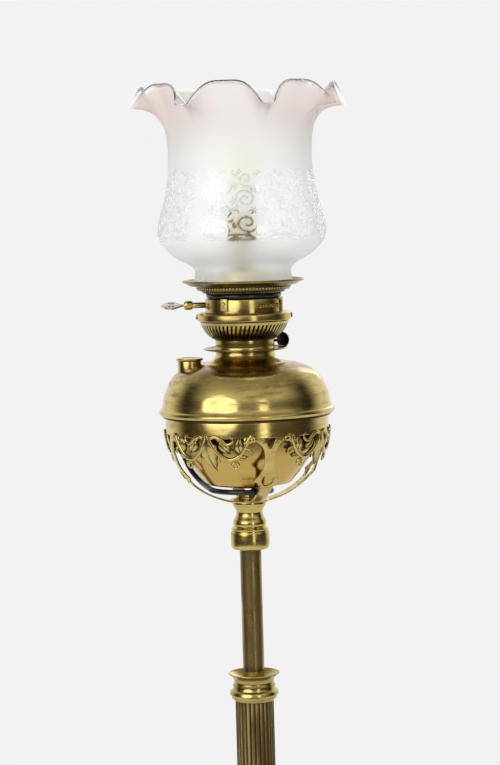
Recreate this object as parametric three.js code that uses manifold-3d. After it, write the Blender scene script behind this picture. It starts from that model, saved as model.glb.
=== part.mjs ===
// A telescopic floor oil lamp in brass, fitted with an electric lampholder: a loaded round base on
// paw feet, a reeded column, a sliding inner tube, a pierced cradle with a drop-in font, a duplex
// burner with a rising gallery, and a crimped glass shade. Millimetres, +Z up, origin on the floor
// under the column. Azimuth 0 is the front (-Y) and azimuth 90 is the right (+X).
import * as THREE from 'three';
import { mergeVertices } from 'three/addons/utils/BufferGeometryUtils.js';
import Module from 'manifold-3d';

const wasm = await Module();
wasm.setup();

// Shared clearances and mesh steps
const seatGap = 0.3;
const runningGap = 0.4;
const cutOverrun = 2;
const largeSides = 28;
const mediumSides = 20;
const roundSides = 16;
const smallSides = 12;
const pinSides = 8;

// Base and feet
const footHeight = 36;
const footCount = 4;
const pawRadius = 15;
const pawHeight = 17;
const toeRadius = 7.5;
const ankleRadius = 12;
const studRadius = 4;
const studLength = 14;
const baseRadius = 150;
const baseHeight = 66;
const baseWall = 1.8;
const baseLip = 54;
const topHoleRadius = 11;
const weightHeight = 15;
const footInset = 38;
const footRing = baseRadius - footInset;
const weightInset = 34;
const weightRadius = baseRadius - weightInset;
const weightWidth = 54;
const weightBore = weightRadius - weightWidth;
const weightChannel = 7.5;
const knopRadius = 27;
const knopHeight = 50;
const knopStemLength = 12;
const baseNutRadius = 18;
const baseNutHeight = 7;
const leadBore = 6.5;

// Column, ferrule and clamp
const collarRadius = 27;
const collarHeight = 20;
const columnRadius = 19.8;
const reedDepth = 1.5;
const reedCount = 24;
const reedSteps = 3;
const columnBore = 16;
const columnLength = 707;
const columnSpigot = 14;
const ferruleRadius = 25;
const ferruleHeight = 15;
const clampRadius = 26.2;
const clampHeight = 12.8;
const clampWall = 1.2;
const colletWall = 1.7;
const colletSlots = 4;
const colletSlotWidth = 1.6;
const colletLength = 22;
const colletSink = 5.4;

// Sliding tube, guide bush and socket
const tubeRadius = 10.8;
const tubeWall = 1.5;
const stemReach = 155.2;
const tubeInside = 500;
const tubeInSocket = 20;
const bushHeight = 25;
const bushFlange = 1.2;
const socketRadius = 19.5;
const socketHeight = 47.8;
const nutRadius = 12;
const nutHeight = 5;
const spigotRadius = 9;

// Pierced cradle
const cradleRadius = 82;
const cradleDepth = 78;
const cradleWall = 1.8;
const cradleFloorRadius = 19;
const bandRise = 8.6;
const bandDrop = 6.3;
const strapCount = 4;
const firstStrapAzimuth = 16;
const strapTopHalf = 17;
const strapWaistHalf = 5.4;
const strapWaistDrop = 32;
const strapEarHalf = 14.5;
const strapEarDrop = 56;
const strapFootHalf = 6.5;
const strapFootDrop = 71;
const strapHoleRadius = 5.5;
const strapHoleDrop = 58;
const notchHalf = 6;
const notchDepth = 11;
const leafLength = 32;
const leafHalf = 7.5;
const vineWidth = 3.4;
const friezeReach = 43;
const friezeDrop = 31;
const budRadius = 6.5;
const curlRadius = 3.6;

// Drop-in font and filler
const fontWall = 1.2;
const fontBowlRadius = 78;
const fontBowlDepth = 68.7;
const fontLipWidth = 6.5;
const domeRadius = 83.8;
const domeHeight = 54;
const beadRadius = 3.4;
const fontNeckRadius = 29.6;
const fontNeckHeight = 9;
const fillerAzimuth = -80;
const fillerRing = 56.5;
const fillerRadius = 11.9;
const fillerWall = 1.6;
const fillerRise = 1.1;
const fillerDepth = 16;
const capRadius = 13.9;
const capHeight = 2.6;
const capPlugDepth = 8;

// Burner
const burnerWall = 1.2;
const saucerRadius = 42;
const saucerRise = 2.7;
const saucerWall = 1;
const neckHeight = 10.6;
const neckSpigot = 8;
const basketHeight = 17.4;
const basketRadius = 44;
const slotCount = 28;
const slotWidth = 3.8;
const beltRadius = 47.3;
const beltHeight = 8.4;
const lugWidth = 5;
const drumRadius = 39;
const drumHeight = 13.4;
const deckHoleRadius = 31;
const coreRadius = 22;
const coreHeight = 46;
const coneRadius = 24.5;
const coneHeight = 39.5;
const wickWidth = 25;
const wickThickness = 3.2;
const wickWall = 0.8;
const wickSpacing = 12;
const wickRise = 2.4;
const catchAzimuth = -32;
const catchWidth = 7.5;
const catchHeight = 11.5;
const catchThickness = 1.6;
const rivetRadius = 2;
const bracketAzimuth = 67;
const bracketWidth = 4.5;
const bracketHeight = 14;
const springFrom = 20;
const springTo = 58;
const springRadius = 1.7;
const springWire = 0.55;
const springCurls = 8;

// Wick winders
const winderAzimuth = 137;
const winderRise = 7.2;
const winderSpacing = 22;
const winderSpindle = 1.5;
const winderReach = 42.2;
const winderKnobRadius = 8.2;
const winderKnobDepth = 3.6;
const winderWheelRadius = 3.05;
const winderWheelWidth = 7;
const winderTeeth = 8;

// Gallery and its lift
const galleryRadius = 61;
const galleryRise = 5;
const gallerySheet = 1.2;
const galleryHoleRadius = 25.2;
const skirtHeight = 6.2;
const skirtTopRadius = 47.6;
const skirtFootRadius = 40.5;
const skirtBeads = 20;
const beadGap = 3.6;
const rackWidth = 4;
const rackThickness = 3;
const rackRing = 25.6;
const rackLength = 34;
const pinionTeeth = 10;
const pinionPitchRadius = 5;
const toothAddendum = 0.8;
const toothDedendum = 1.1;
const toothFlank = 0.3;
const toothHalf = 0.56;
const liftRise = 7.2;
const liftSpindle = 2;
const stubRadius = 2.9;
const stubLength = 12;
const knurlRadius = 4.7;
const knurlLength = 8.5;
const knurlTeeth = 12;
const keyLength = 23;
const keyHalf = 10.5;
const keyThickness = 2;
const keyLoopRadius = 3.4;
const keyTilt = 14;

// Shade, lampholder and bulb
const shadeFootRadius = 50.4;
const shadeRadius = 84.6;
const shadeHeight = 187;
const shadeWall = 3;
const rimRadius = 105;
const crimpLobes = 8;
const crimpAzimuth = 15;
const crimpOut = 7;
const crimpDown = 11.5;
const holderRadius = 14.4;
const holderHeight = 41;
const holderWall = 1.2;
const nippleRadius = 5;
const nippleLength = 9;
const insertHeight = 18;
const plungerRadius = 2;
const holderRingRadius = 15.4;
const holderRingHeight = 24;
const bulbCapRadius = 11;
const bulbCapHeight = 25;
const bulbPinRadius = 1;
const bulbPinLength = 1.2;
const bulbRadius = 24;
const bulbHeight = 68;

// Flex, cord bush and plug
const flexRadius = 2.75;
const flexSides = 8;
const cordBushRadius = 7;
const cordBushShank = 4.7;
const cordBushLength = 34;
const cordBushRise = 9;
const coilMeanRadius = 31;
const coilPitch = 6;
const coilLayers = 4;
const coilTurnsPerLayer = 2.4375;
const coilLoopSteps = 14;
const coilSides = 5;
const springSteps = 8;
const springSides = 5;
const plugWidth = 50;
const plugLength = 46;
const plugDepth = 22;
const plugCorner = 12;
const plugPinLength = 17.7;
const plugEarthLength = 22.7;
const plugPinSpacing = 22.2;
const plugPinWidth = 6.4;
const plugPinThickness = 4;

// Levels, worked out from the sizes above
const baseTop = footHeight + baseHeight;
const knopBottom = baseTop + seatGap;
const knopTop = knopBottom + knopHeight;
const collarBottom = knopTop + seatGap;
const columnBottom = collarBottom + collarHeight + seatGap;
const columnTop = columnBottom + columnLength;
const ferruleBottom = columnTop + seatGap;
const ferruleTop = ferruleBottom + ferruleHeight;
const clampBottom = ferruleTop + seatGap;
const clampTop = clampBottom + clampHeight;
const tubeBottom = columnTop - tubeInside;
const socketBottom = columnTop + stemReach;
const socketTop = socketBottom + socketHeight;
const cradleBottom = socketTop + seatGap;
const cradleEquator = cradleBottom + cradleDepth;
const bandBottom = cradleEquator - bandDrop;
const cradleTop = cradleEquator + bandRise;
const cradleNutBottom = cradleBottom + cradleWall + seatGap;
const fontSeat = cradleTop + seatGap;
const fontBottom = fontSeat - fontBowlDepth;
const domeBottom = fontSeat + fontWall + seatGap;
const shoulder = domeBottom + domeHeight;
const fontNeckTop = shoulder + fontNeckHeight;
const fillerTop = shoulder + fillerRise;
const saucerBottom = fontNeckTop + seatGap;
const neckBottom = saucerBottom + saucerWall + seatGap;
const neckTop = neckBottom + neckHeight;
const basketBottom = neckTop + seatGap;
const beltBottom = basketBottom + basketHeight + burnerWall;
const beltTop = beltBottom + beltHeight;
const drumBottom = beltTop + seatGap;
const drumTop = drumBottom + drumHeight;
const coreBottom = neckBottom + burnerWall + seatGap;
const coreTop = coreBottom + coreHeight;
const coneBottom = coreTop + seatGap;
const coneTop = coneBottom + coneHeight;
const winderLevel = neckBottom + winderRise;
const liftLevel = drumBottom + liftRise;
const turnLevel = drumTop + seatGap + flexRadius;
const skirtBottom = turnLevel + flexRadius + 2 * seatGap;
const galleryBottom = skirtBottom + skirtHeight + seatGap;
const rackTop = galleryBottom - seatGap;
const shadeBottom = galleryBottom + gallerySheet + 2 * seatGap;
const holderBottom = coneTop + nippleLength;
const holderTop = holderBottom + holderHeight;
const insertBottom = holderBottom + holderWall + 2 * seatGap;
const insertTop = insertBottom + insertHeight;
const bulbCapBottom = insertTop + seatGap;
const bulbBottom = bulbCapBottom + bulbCapHeight + seatGap;

// Fits, worked out from the sizes above
const colletInner = tubeRadius + runningGap;
const colletSeat = colletInner + colletWall + runningGap;
const neckInner = fontNeckRadius - fontWall - runningGap;
const coilReach = (coilTurnsPerLayer * coilPitch) / 2;
const stubEnd = drumRadius + stubLength;
const knurlEnd = stubEnd + seatGap + knurlLength;
const leadLevel = footHeight + cordBushRise;

// Finishes
const brass = { color: 0xa8843c, roughness: 0.24, metalness: 1 };
const agedBrass = { color: 0x7c6535, roughness: 0.36, metalness: 1 };
const bronze = { color: 0x3a2f20, roughness: 0.4, metalness: 0.9 };
const nickel = { color: 0xb9b2a8, roughness: 0.3, metalness: 1 };
const iron = { color: 0x2e2b29, roughness: 0.8, metalness: 0.6 };
const frosted = { color: 0xe9e6e0, roughness: 0.6, metalness: 0, transparent: true, opacity: 0.7 };
const pearl = { color: 0xf3efdc, roughness: 0.5, metalness: 0 };
const white = { color: 0xe8e6e0, roughness: 0.4, metalness: 0 };
const black = { color: 0x14120f, roughness: 0.4, metalness: 0 };

const radians = THREE.MathUtils.degToRad;
const circle = 2 * Math.PI;

// Solids and booleans
function toSolid(geometry) {
  const bare = geometry.clone();
  bare.deleteAttribute('normal');
  bare.deleteAttribute('uv');
  const merged = mergeVertices(bare, 1e-4);
  return new wasm.Manifold(new wasm.Mesh({
    numProp: 3,
    vertProperties: merged.attributes.position.array,
    triVerts: new Uint32Array(merged.index.array),
  }));
}
function toGeometry(solid) {
  const mesh = solid.getMesh();
  const geometry = new THREE.BufferGeometry();
  geometry.setAttribute('position', new THREE.BufferAttribute(mesh.vertProperties, 3));
  geometry.setIndex(new THREE.BufferAttribute(mesh.triVerts, 1));
  return geometry;
}
const joined = pieces => pieces.slice(1).reduce((all, g) => all.add(toSolid(g)), toSolid(pieces[0]));
const join = (...pieces) => toGeometry(joined(pieces));
const cut = (geometry, ...cutters) => toGeometry(toSolid(geometry).subtract(joined(cutters)));
const common = (geometry, ...others) => toGeometry(toSolid(geometry).intersect(joined(others)));

// A solid turned about Z from an outline of [radius, height] points
function turned(outline, sides = roundSides) {
  const last = outline[outline.length - 1];
  const points = outline[0][0] === 0 && last[0] === 0 ? outline : [...outline, outline[0]];
  const area = points.slice(1).reduce((sum, [r, z], i) => sum + points[i][0] * z - r * points[i][1], 0);
  const ordered = area < 0 ? [...points].reverse() : points;
  const profile = ordered.map(([r, z]) => new THREE.Vector2(r, z));
  return new THREE.LatheGeometry(profile, sides).rotateX(Math.PI / 2);
}

// Outline points from shares of a radius, and of a height above a level
const shaped = (shares, radius, bottom, height) =>
  shares.map(([r, z]) => [r * radius, bottom + z * height]);

// The outline of a sheet, from its outer line drawn from the bottom up. Its inner line follows
// every point of the outer one, or only those that are listed.
function sheet(line, wall, followed = line.map((_, i) => i)) {
  const towards = ([r0, z0], [r1, z1]) => new THREE.Vector2(z0 - z1, r1 - r0).normalize();
  const inner = line.map((point, i) => {
    const before = i > 0 ? towards(line[i - 1], point) : towards(point, line[1]);
    const after = i < line.length - 1 ? towards(point, line[i + 1]) : before;
    const mean = before.clone().add(after).normalize();
    const stretch = wall / Math.max(mean.dot(before), Math.SQRT1_2);
    return [point[0] + mean.x * stretch, point[1] + mean.y * stretch];
  });
  if (line[0][0] === 0) inner[0][0] = 0;
  return [...line, ...followed.map(i => inner[i]).reverse()];
}

// Tube walls, rods and blocks, placed by their lowest level
const pipe = (outer, inner, bottom, height, sides = roundSides) => turned([
  [inner, bottom], [outer, bottom], [outer, bottom + height], [inner, bottom + height]], sides);
const rod = (radius, bottom, height, sides = pinSides) => turned([
  [0, bottom], [radius, bottom], [radius, bottom + height], [0, bottom + height]], sides);
const block = (width, depth, height, x, y, bottom) =>
  new THREE.BoxGeometry(width, depth, height).translate(x, y, bottom + height / 2);
const hexNut = (radius, bore, bottom, height, sides) =>
  cut(rod(radius, bottom, height, 6), rod(bore, bottom - cutOverrun, height + 2 * cutOverrun, sides));
const towardsLeft = (geometry, level) => geometry.rotateY(-Math.PI / 2).translate(0, 0, level);
const towardsBack = (geometry, x, level) => geometry.rotateX(-Math.PI / 2).translate(x, 0, level);
const around = (radius, azimuth, height) => new THREE.Vector3(
  radius * Math.sin(radians(azimuth)), -radius * Math.cos(radians(azimuth)), height);

// Flat outlines, and solids pushed out from them
const outlineOf = points => new THREE.Shape(points.map(([x, y]) => new THREE.Vector2(x, y)));
const ringPoints = (count, radiusAt) => Array.from({ length: count }, (_, i) => {
  const turn = (i / count) * circle;
  return [radiusAt(i) * Math.cos(turn), radiusAt(i) * Math.sin(turn)];
});
const extruded = (shape, depth, curveSegments = 4) =>
  new THREE.ExtrudeGeometry(shape, { depth, bevelEnabled: false, curveSegments });
const toothed = (teeth, outer, inner, depth) =>
  extruded(outlineOf(ringPoints(2 * teeth, i => (i % 2 ? inner : outer))), depth);

// An outline drawn sideways and upwards, pushed outwards from the axis at an azimuth
const outward = (shape, near, far, azimuth, level, curveSegments) =>
  extruded(shape, far - near, curveSegments).translate(0, 0, near)
    .rotateX(Math.PI / 2).rotateZ(radians(azimuth)).translate(0, 0, level);

// A ribbon of even width along a curved line
function ribbon(points, width) {
  const line = new THREE.CatmullRomCurve3(points.map(([x, y]) => new THREE.Vector3(x, y, 0)));
  const steps = points.length - 1;
  const left = [];
  const right = [];
  for (let i = 0; i <= steps; i++) {
    const at = line.getPointAt(i / steps);
    const along = line.getTangentAt(i / steps).multiplyScalar(width / 2);
    left.push([at.x - along.y, at.y + along.x]);
    right.push([at.x + along.y, at.y - along.x]);
  }
  return outlineOf([...left, ...right.reverse()]);
}

// Flex: a round section along part of a route, from one of its points to another
const routePieces = 40;
const flexSection = outlineOf(ringPoints(flexSides, () => flexRadius));
function routeThrough(points) {
  const route = new THREE.CatmullRomCurve3(points, false, 'centripetal');
  route.arcLengthDivisions = routePieces * (points.length - 1);
  return route;
}
class Stretch extends THREE.Curve {
  constructor(route, from, to) {
    super();
    Object.assign(this, { route, from, to });
  }
  getPoint(share) {
    return this.route.getPointAt(this.from + (this.to - this.from) * share);
  }
}
function flexAlong(route, first, last, steps) {
  const lengths = route.getLengths();
  const total = lengths[lengths.length - 1];
  const from = (lengths[first * routePieces] + (first ? seatGap / 2 : 0)) / total;
  const end = last < route.points.length - 1 ? seatGap / 2 : 0;
  const to = (lengths[last * routePieces] - end) / total;
  const extrudePath = new Stretch(route, from, to);
  return new THREE.ExtrudeGeometry(flexSection, { steps, bevelEnabled: false, extrudePath });
}

// A wound tube: rings of points round a line of places, each with its outward direction
function woundTube(places, radius, sides) {
  const positions = [];
  const faces = [];
  places.forEach(({ at, out }, i) => {
    const before = places[Math.max(i - 1, 0)].at;
    const after = places[Math.min(i + 1, places.length - 1)].at;
    const along = after.clone().sub(before).normalize();
    const side = out.clone().addScaledVector(along, -out.dot(along)).normalize();
    const up = along.clone().cross(side);
    for (const [x, y] of ringPoints(sides, () => radius)) {
      positions.push(...at.clone().addScaledVector(side, x).addScaledVector(up, y).toArray());
    }
  });
  const last = (places.length - 1) * sides;
  for (let i = 0; i < last; i += sides) {
    for (let j = 0; j < sides; j++) {
      const next = (j + 1) % sides;
      faces.push(i + j, i + next, i + sides + j, i + next, i + sides + next, i + sides + j);
    }
  }
  for (let j = 1; j < sides - 1; j++) {
    faces.push(0, j + 1, j, last, last + j, last + j + 1);
  }
  const geometry = new THREE.BufferGeometry();
  geometry.setAttribute('position', new THREE.Float32BufferAttribute(positions, 3));
  geometry.setIndex(faces);
  return geometry;
}

// The least gap of a wound tube to itself, measured between points over half a turn apart
function leastGap(places, radius, stepsPerTurn) {
  let least = Infinity;
  for (let i = 0; i < places.length; i++) {
    for (let j = i + stepsPerTurn / 2; j < places.length; j++) {
      least = Math.min(least, places[i].at.distanceTo(places[j].at));
    }
  }
  return least - 2 * radius;
}

const lamp = new THREE.Group();
const assembly = () => {
  const group = new THREE.Group();
  lamp.add(group);
  return group;
};
function add(group, name, geometry, finish) {
  const mesh = new THREE.Mesh(geometry, new THREE.MeshStandardMaterial(finish));
  mesh.name = name;
  group.add(mesh);
  return mesh;
}

// Base: a spun shell with a turned-in lip, loaded with an iron ring, on four paw feet
const baseShares = [
  [0.973, 0], [1, 0.05], [0.965, 0.15], [0.86, 0.22], [0.79, 0.39], [0.75, 0.42], [0.745, 0.48],
  [0.64, 0.62], [0.42, 0.82], [0.185, 0.96]];
const footAzimuths = Array.from({ length: footCount }, (_, i) => ((i + 0.5) * 360) / footCount);
const studHoles = () => footAzimuths.map(azimuth =>
  rod(studRadius + runningGap, footHeight - cutOverrun, baseHeight / 2)
    .translate(...around(footRing, azimuth, 0).toArray()));
function baseShell() {
  const line = [[baseRadius - baseLip, footHeight], ...shaped(baseShares, baseRadius, footHeight, baseHeight),
    [knopRadius, baseTop], [topHoleRadius, baseTop]];
  const exit = towardsBack(rod(cordBushShank + seatGap, baseRadius - baseLip, 2 * baseLip, smallSides), 0,
    leadLevel);
  return cut(turned(sheet(line, baseWall, [0, 1, 4, 6, 8, 10, 11, 12]), largeSides), exit, ...studHoles());
}
function baseWeight() {
  const ring = pipe(weightRadius, weightBore, footHeight + baseWall + seatGap, weightHeight, smallSides);
  const channel = block(weightChannel, weightRadius, weightHeight, 0, weightRadius,
    leadLevel - weightChannel / 2);
  return cut(ring, channel, ...studHoles());
}

// A cast paw: three toes and a heel under a ringed ankle, with a stud for the base
const ankleShares = [
  [0, 0], [1.05, 0], [1.2, 0.12], [0.72, 0.45], [0.74, 0.62], [1.12, 0.76], [1.3, 1], [0, 1]];
const pawShares = { toeWidth: 1.1, toeReach: 1.3, spread: 1.15, sideReach: 0.75, heel: 0.85,
  heelHeight: 0.55 };
const soleShare = 0.8;
function pawFoot() {
  const ball = (width, depth, height, x, y) => new THREE.SphereGeometry(1, 6, 4)
    .rotateX(Math.PI / 2).scale(width, depth, height).translate(x, y, height * soleShare);
  const toes = [-1, 0, 1].map(side => ball(pawShares.toeWidth * toeRadius / 1.3,
    pawShares.toeReach * toeRadius,
    toeRadius, side * pawShares.spread * toeRadius,
    -pawRadius * (side ? pawShares.sideReach : 1)));
  const heel = ball(pawShares.heel * pawRadius, pawRadius, pawShares.heelHeight * pawHeight, 0, 0);
  const ankleBottom = pawHeight / 2;
  const ankle = turned(shaped(ankleShares, ankleRadius, ankleBottom, footHeight - seatGap - ankleBottom),
    pinSides);
  const stud = rod(studRadius, footHeight - cutOverrun, studLength);
  const ground = block(4 * pawRadius, 4 * pawRadius, pawRadius, 0, 0, -pawRadius);
  return cut(join(ankle, heel, ...toes, stud), ground);
}
const stand = assembly();
add(stand, 'base_shell', baseShell(), brass);
add(stand, 'base_weight', baseWeight(), iron);
footAzimuths.forEach((azimuth, i) => {
  const foot = add(stand, `paw_foot_${i + 1}`, pawFoot(), brass);
  foot.position.copy(around(footRing, azimuth, 0));
  foot.rotation.z = radians(azimuth);
});

// Knop on the base, with a threaded stem that the nut draws down
const knopShares = [
  [1, 0], [1, 0.07], [0.62, 0.18], [0.55, 0.28], [0.75, 0.38], [1, 0.5], [1.04, 0.6], [0.95, 0.7],
  [0.64, 0.82], [0.78, 0.91], [0.9, 1]];
function baseKnop() {
  const body = turned([[0, knopBottom], ...shaped(knopShares, knopRadius, knopBottom, knopHeight), [0,
    knopTop]]);
  const stem = rod(topHoleRadius - runningGap, knopBottom - knopStemLength, knopStemLength + cutOverrun,
    smallSides);
  return cut(join(body, stem), rod(leadBore, knopBottom - knopStemLength - cutOverrun,
    knopHeight + knopStemLength + 2 * cutOverrun, smallSides));
}
add(stand, 'base_knop', baseKnop(), brass);
add(stand, 'base_nut', hexNut(baseNutRadius, topHoleRadius, baseTop - baseWall - seatGap - baseNutHeight,
  baseNutHeight, smallSides), brass);

// Column: a collar, the reeded tube, and the ferrule that carries the clamp
const collarShares = [
  [0.86, 0], [1, 0.08], [1, 0.22], [0.84, 0.42], [0.94, 0.56], [1, 0.74], [0.79, 1]];
function columnCollar() {
  const top = collarBottom + collarHeight;
  const body = turned([[0, collarBottom], ...shaped(collarShares, collarRadius, collarBottom,
    collarHeight), [0, top]]);
  const spigot = rod(columnBore - runningGap, top - cutOverrun, columnSpigot + cutOverrun, smallSides);
  return cut(join(body, spigot), rod(leadBore, collarBottom - cutOverrun,
    collarHeight + columnSpigot + 2 * cutOverrun, smallSides));
}
function reededColumn() {
  const reed = i => columnRadius - reedDepth * (1 - Math.abs(Math.sin((Math.PI * i) / reedSteps)));
  const section = outlineOf(ringPoints(reedCount * reedSteps, reed));
  section.holes.push(new THREE.Path().absarc(0, 0, columnBore, 0, circle, true));
  return extruded(section, columnLength, smallSides).translate(0, 0, columnBottom);
}
const ferruleShares = [
  [0.82, 0], [0.83, 0.12], [0.92, 0.18], [0.93, 0.3], [1, 0.44], [0.97, 0.66], [0.86, 0.76], [0.84, 1]];
function columnFerrule() {
  const spigot = columnBore - runningGap;
  return turned([[spigot, ferruleBottom], ...shaped(ferruleShares, ferruleRadius, ferruleBottom,
    ferruleHeight),
    [colletSeat, ferruleTop], [colletSeat, ferruleBottom - columnSpigot],
    [spigot, ferruleBottom - columnSpigot]]);
}
function gripCollet() {
  const bottom = clampTop - colletSink - colletLength;
  const slots = Array.from({ length: colletSlots / 2 }, (_, i) =>
    block(4 * colletInner, colletSlotWidth, colletLength, 0, 0, bottom + colletLength / 3)
      .rotateZ(((i + 0.5) / colletSlots) * circle));
  return cut(pipe(colletInner + colletWall, colletInner, bottom, colletLength, smallSides), ...slots);
}
add(stand, 'column_collar', columnCollar(), brass);
add(stand, 'column', reededColumn(), agedBrass);
add(stand, 'column_ferrule', columnFerrule(), brass);
add(stand, 'grip_collet', gripCollet(), brass);

// Clamp nut: a flared cup that closes the collet on the tube
const clampShares = [[0.84, 0], [0.775, 0.2], [0.8, 0.54], [0.89, 0.76], [1, 0.93], [0.985, 1]];
const cupShares = { mouth: 0.9, mouthDrop: 0.13, floorDrop: 0.56 };
function clampNut() {
  return turned([[colletSeat, clampBottom], ...shaped(clampShares, clampRadius, clampBottom, clampHeight),
    [cupShares.mouth * clampRadius, clampTop - cupShares.mouthDrop * clampHeight],
    [colletSeat + clampWall, clampTop - cupShares.floorDrop * clampHeight],
    [colletSeat, clampTop - cupShares.floorDrop * clampHeight - clampWall / 2]]);
}
add(assembly(), 'clamp_nut', clampNut(), brass);

// Guide bush on the foot of the tube
function guideBush() {
  const foot = tubeBottom - seatGap;
  const inner = tubeRadius + runningGap;
  const outer = columnBore - runningGap;
  return turned([[tubeRadius - tubeWall, foot - bushFlange], [outer, foot - bushFlange], [outer,
    foot + bushHeight],
    [inner, foot + bushHeight], [inner, foot], [tubeRadius - tubeWall, foot]], smallSides);
}
add(assembly(), 'guide_bush', guideBush(), brass);

// Tube and turned socket
const socketShares = [
  [0.9, 0], [1, 0.08], [1, 0.34], [0.96, 0.38], [0.98, 0.43], [0.84, 0.49], [0.86, 0.58], [0.71, 0.71],
  [0.69, 0.8], [0.87, 0.94], [0.88, 1]];
function stemSocket() {
  const seat = socketBottom + tubeInSocket + seatGap;
  const spigotTop = cradleNutBottom + nutHeight + seatGap;
  return turned([[tubeRadius + seatGap, socketBottom],
    ...shaped(socketShares, socketRadius, socketBottom, socketHeight),
    [spigotRadius, socketTop], [spigotRadius, spigotTop], [leadBore, spigotTop], [leadBore, seat],
    [tubeRadius + seatGap, seat]]);
}
const head = assembly();
add(head, 'inner_tube', pipe(tubeRadius, tubeRadius - tubeWall, tubeBottom,
  socketBottom + tubeInSocket - tubeBottom), agedBrass);
add(head, 'stem_socket', stemSocket(), brass);

// Pierced cradle: a turned bowl kept only where its band, floor, straps and foliage are
const cradleSteps = 5;
function cradleLine() {
  const reach = Math.acos(cradleFloorRadius / cradleRadius);
  const depth = cradleDepth / Math.sin(reach);
  const side = Array.from({ length: cradleSteps }, (_, i) => {
    const turn = reach * (1 - i / cradleSteps);
    return [cradleRadius * Math.cos(turn), cradleEquator - depth * Math.sin(turn)];
  });
  return [[spigotRadius + runningGap, cradleBottom], ...side, [cradleRadius, cradleEquator],
    [cradleRadius, cradleTop]];
}
function strapOutline() {
  const right = [
    [strapTopHalf * 1.5, -bandDrop / 2], [strapTopHalf, -bandDrop * 1.3],
    [strapTopHalf * 0.6, -strapWaistDrop * 0.42], [strapWaistHalf * 1.15, -strapWaistDrop * 0.75],
    [strapWaistHalf, -strapWaistDrop], [strapWaistHalf * 1.25, -strapEarDrop * 0.8],
    [strapEarHalf, -strapEarDrop], [strapEarHalf * 0.85, -strapEarDrop * 1.06],
    [strapFootHalf * 1.1, -strapFootDrop * 0.94], [strapFootHalf, -strapFootDrop],
    [strapFootHalf, -cradleDepth - cradleWall]];
  return outlineOf([...right, ...right.map(([x, y]) => [-x, y]).reverse()]);
}
const leafShares = [[0.35, 0], [1, 0.4], [0.65, 0.78]];
const vineShares = [[0.05, 0], [0.25, 0.3], [0.46, 0.72], [0.7, 0.52], [0.95, -0.02]];
const budShares = [0.42, 0.42];
const curlShares = [0.5, 0.86];
function friezeOutlines() {
  const top = -bandDrop * 0.75;
  const leafSide = leafShares.map(([x, y]) => [x * leafHalf, top - y * leafLength]);
  const leaf = outlineOf([...leafSide, [0, top - leafLength], ...leafSide.map(([x, y]) => [-x,
    y]).reverse()]);
  const sprays = [-1, 1].flatMap(way => {
    const placed = shares => shares.map(([x, y]) => [way * x * friezeReach, top - y * friezeDrop]);
    const disc = (shares, radius) => {
      const [[x, y]] = placed([shares]);
      return outlineOf(ringPoints(6, () => radius).map(([dx, dy]) => [x + dx, y + dy]));
    };
    return [ribbon(placed(vineShares), vineWidth), disc(budShares, budRadius), disc(curlShares, curlRadius)];
  });
  return [leaf, ...sprays];
}
function fontCradle() {
  const far = cradleRadius + cutOverrun;
  const azimuths = Array.from({ length: strapCount }, (_, i) => firstStrapAzimuth + (i * 360) / strapCount);
  const kept = azimuths.flatMap(azimuth => [
    outward(strapOutline(), 0, far, azimuth, cradleEquator),
    ...friezeOutlines().map(shape =>
      outward(shape, cradleFloorRadius, far, azimuth - 180 / strapCount, cradleEquator)),
  ]);
  const band = rod(far, bandBottom, bandDrop + bandRise + cutOverrun, mediumSides);
  const floor = rod(cradleFloorRadius + cradleWall, cradleBottom - cutOverrun, 2 * cradleWall + cutOverrun);
  const notch = outlineOf([[-notchHalf, 0], [notchHalf, 0], [0, -notchDepth]]);
  const hole = new THREE.Shape().absarc(0, bandDrop - strapHoleDrop, strapHoleRadius, 0, circle);
  const piercings = azimuths.flatMap(azimuth => [notch, hole].map(shape =>
    outward(shape, cradleFloorRadius, far, azimuth, bandBottom)));
  return cut(common(turned(sheet(cradleLine(), cradleWall), mediumSides), band, floor, ...kept),
    ...piercings);
}
add(head, 'font_cradle', fontCradle(), brass);
add(head, 'cradle_nut', hexNut(nutRadius, spigotRadius + seatGap, cradleNutBottom, nutHeight, roundSides),
  brass);

// Drop-in font: a bowl whose lip rests on the cradle's band, and the dome with its seam bead
const bowlShares = [[0.51, 0], [0.6, 0.08], [0.82, 0.42], [0.95, 0.68], [1, 1]];
function fontBowl() {
  const line = [[0, fontBottom], ...shaped(bowlShares, fontBowlRadius, fontBottom, fontBowlDepth),
    [fontBowlRadius + fontLipWidth, fontSeat]];
  return turned(sheet(line, fontWall, [0, 1, 3, 5, 6]), largeSides);
}
const domeShares = [
  [0.985, 0.2], [0.945, 0.43], [0.86, 0.71], [0.75, 0.85], [0.57, 0.955]];
const beadTurns = [-50, 0, 50];
const fillerHole = () => rod(fillerRadius + seatGap, shoulder - 2 * fillerDepth, 3 * fillerDepth, smallSides)
  .translate(...around(fillerRing, fillerAzimuth, 0).toArray());
function fontDome() {
  const bead = beadTurns.map(turn => [domeRadius + beadRadius * Math.cos(radians(turn)),
    domeBottom + beadRadius * (1 + Math.sin(radians(turn)))]);
  const line = [[domeRadius - beadRadius, domeBottom], ...bead,
    ...shaped(domeShares, domeRadius, domeBottom, domeHeight),
    [fontNeckRadius + fontNeckHeight / 4, shoulder], [fontNeckRadius, shoulder + fontNeckHeight / 3],
    [fontNeckRadius, fontNeckTop]];
  return cut(turned(sheet(line, fontWall, [0, 4, 6, 8, 9, 11]), largeSides), fillerHole());
}
const font = assembly();
add(font, 'font_bowl', fontBowl(), brass);
add(font, 'font_dome', fontDome(), brass);

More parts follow.
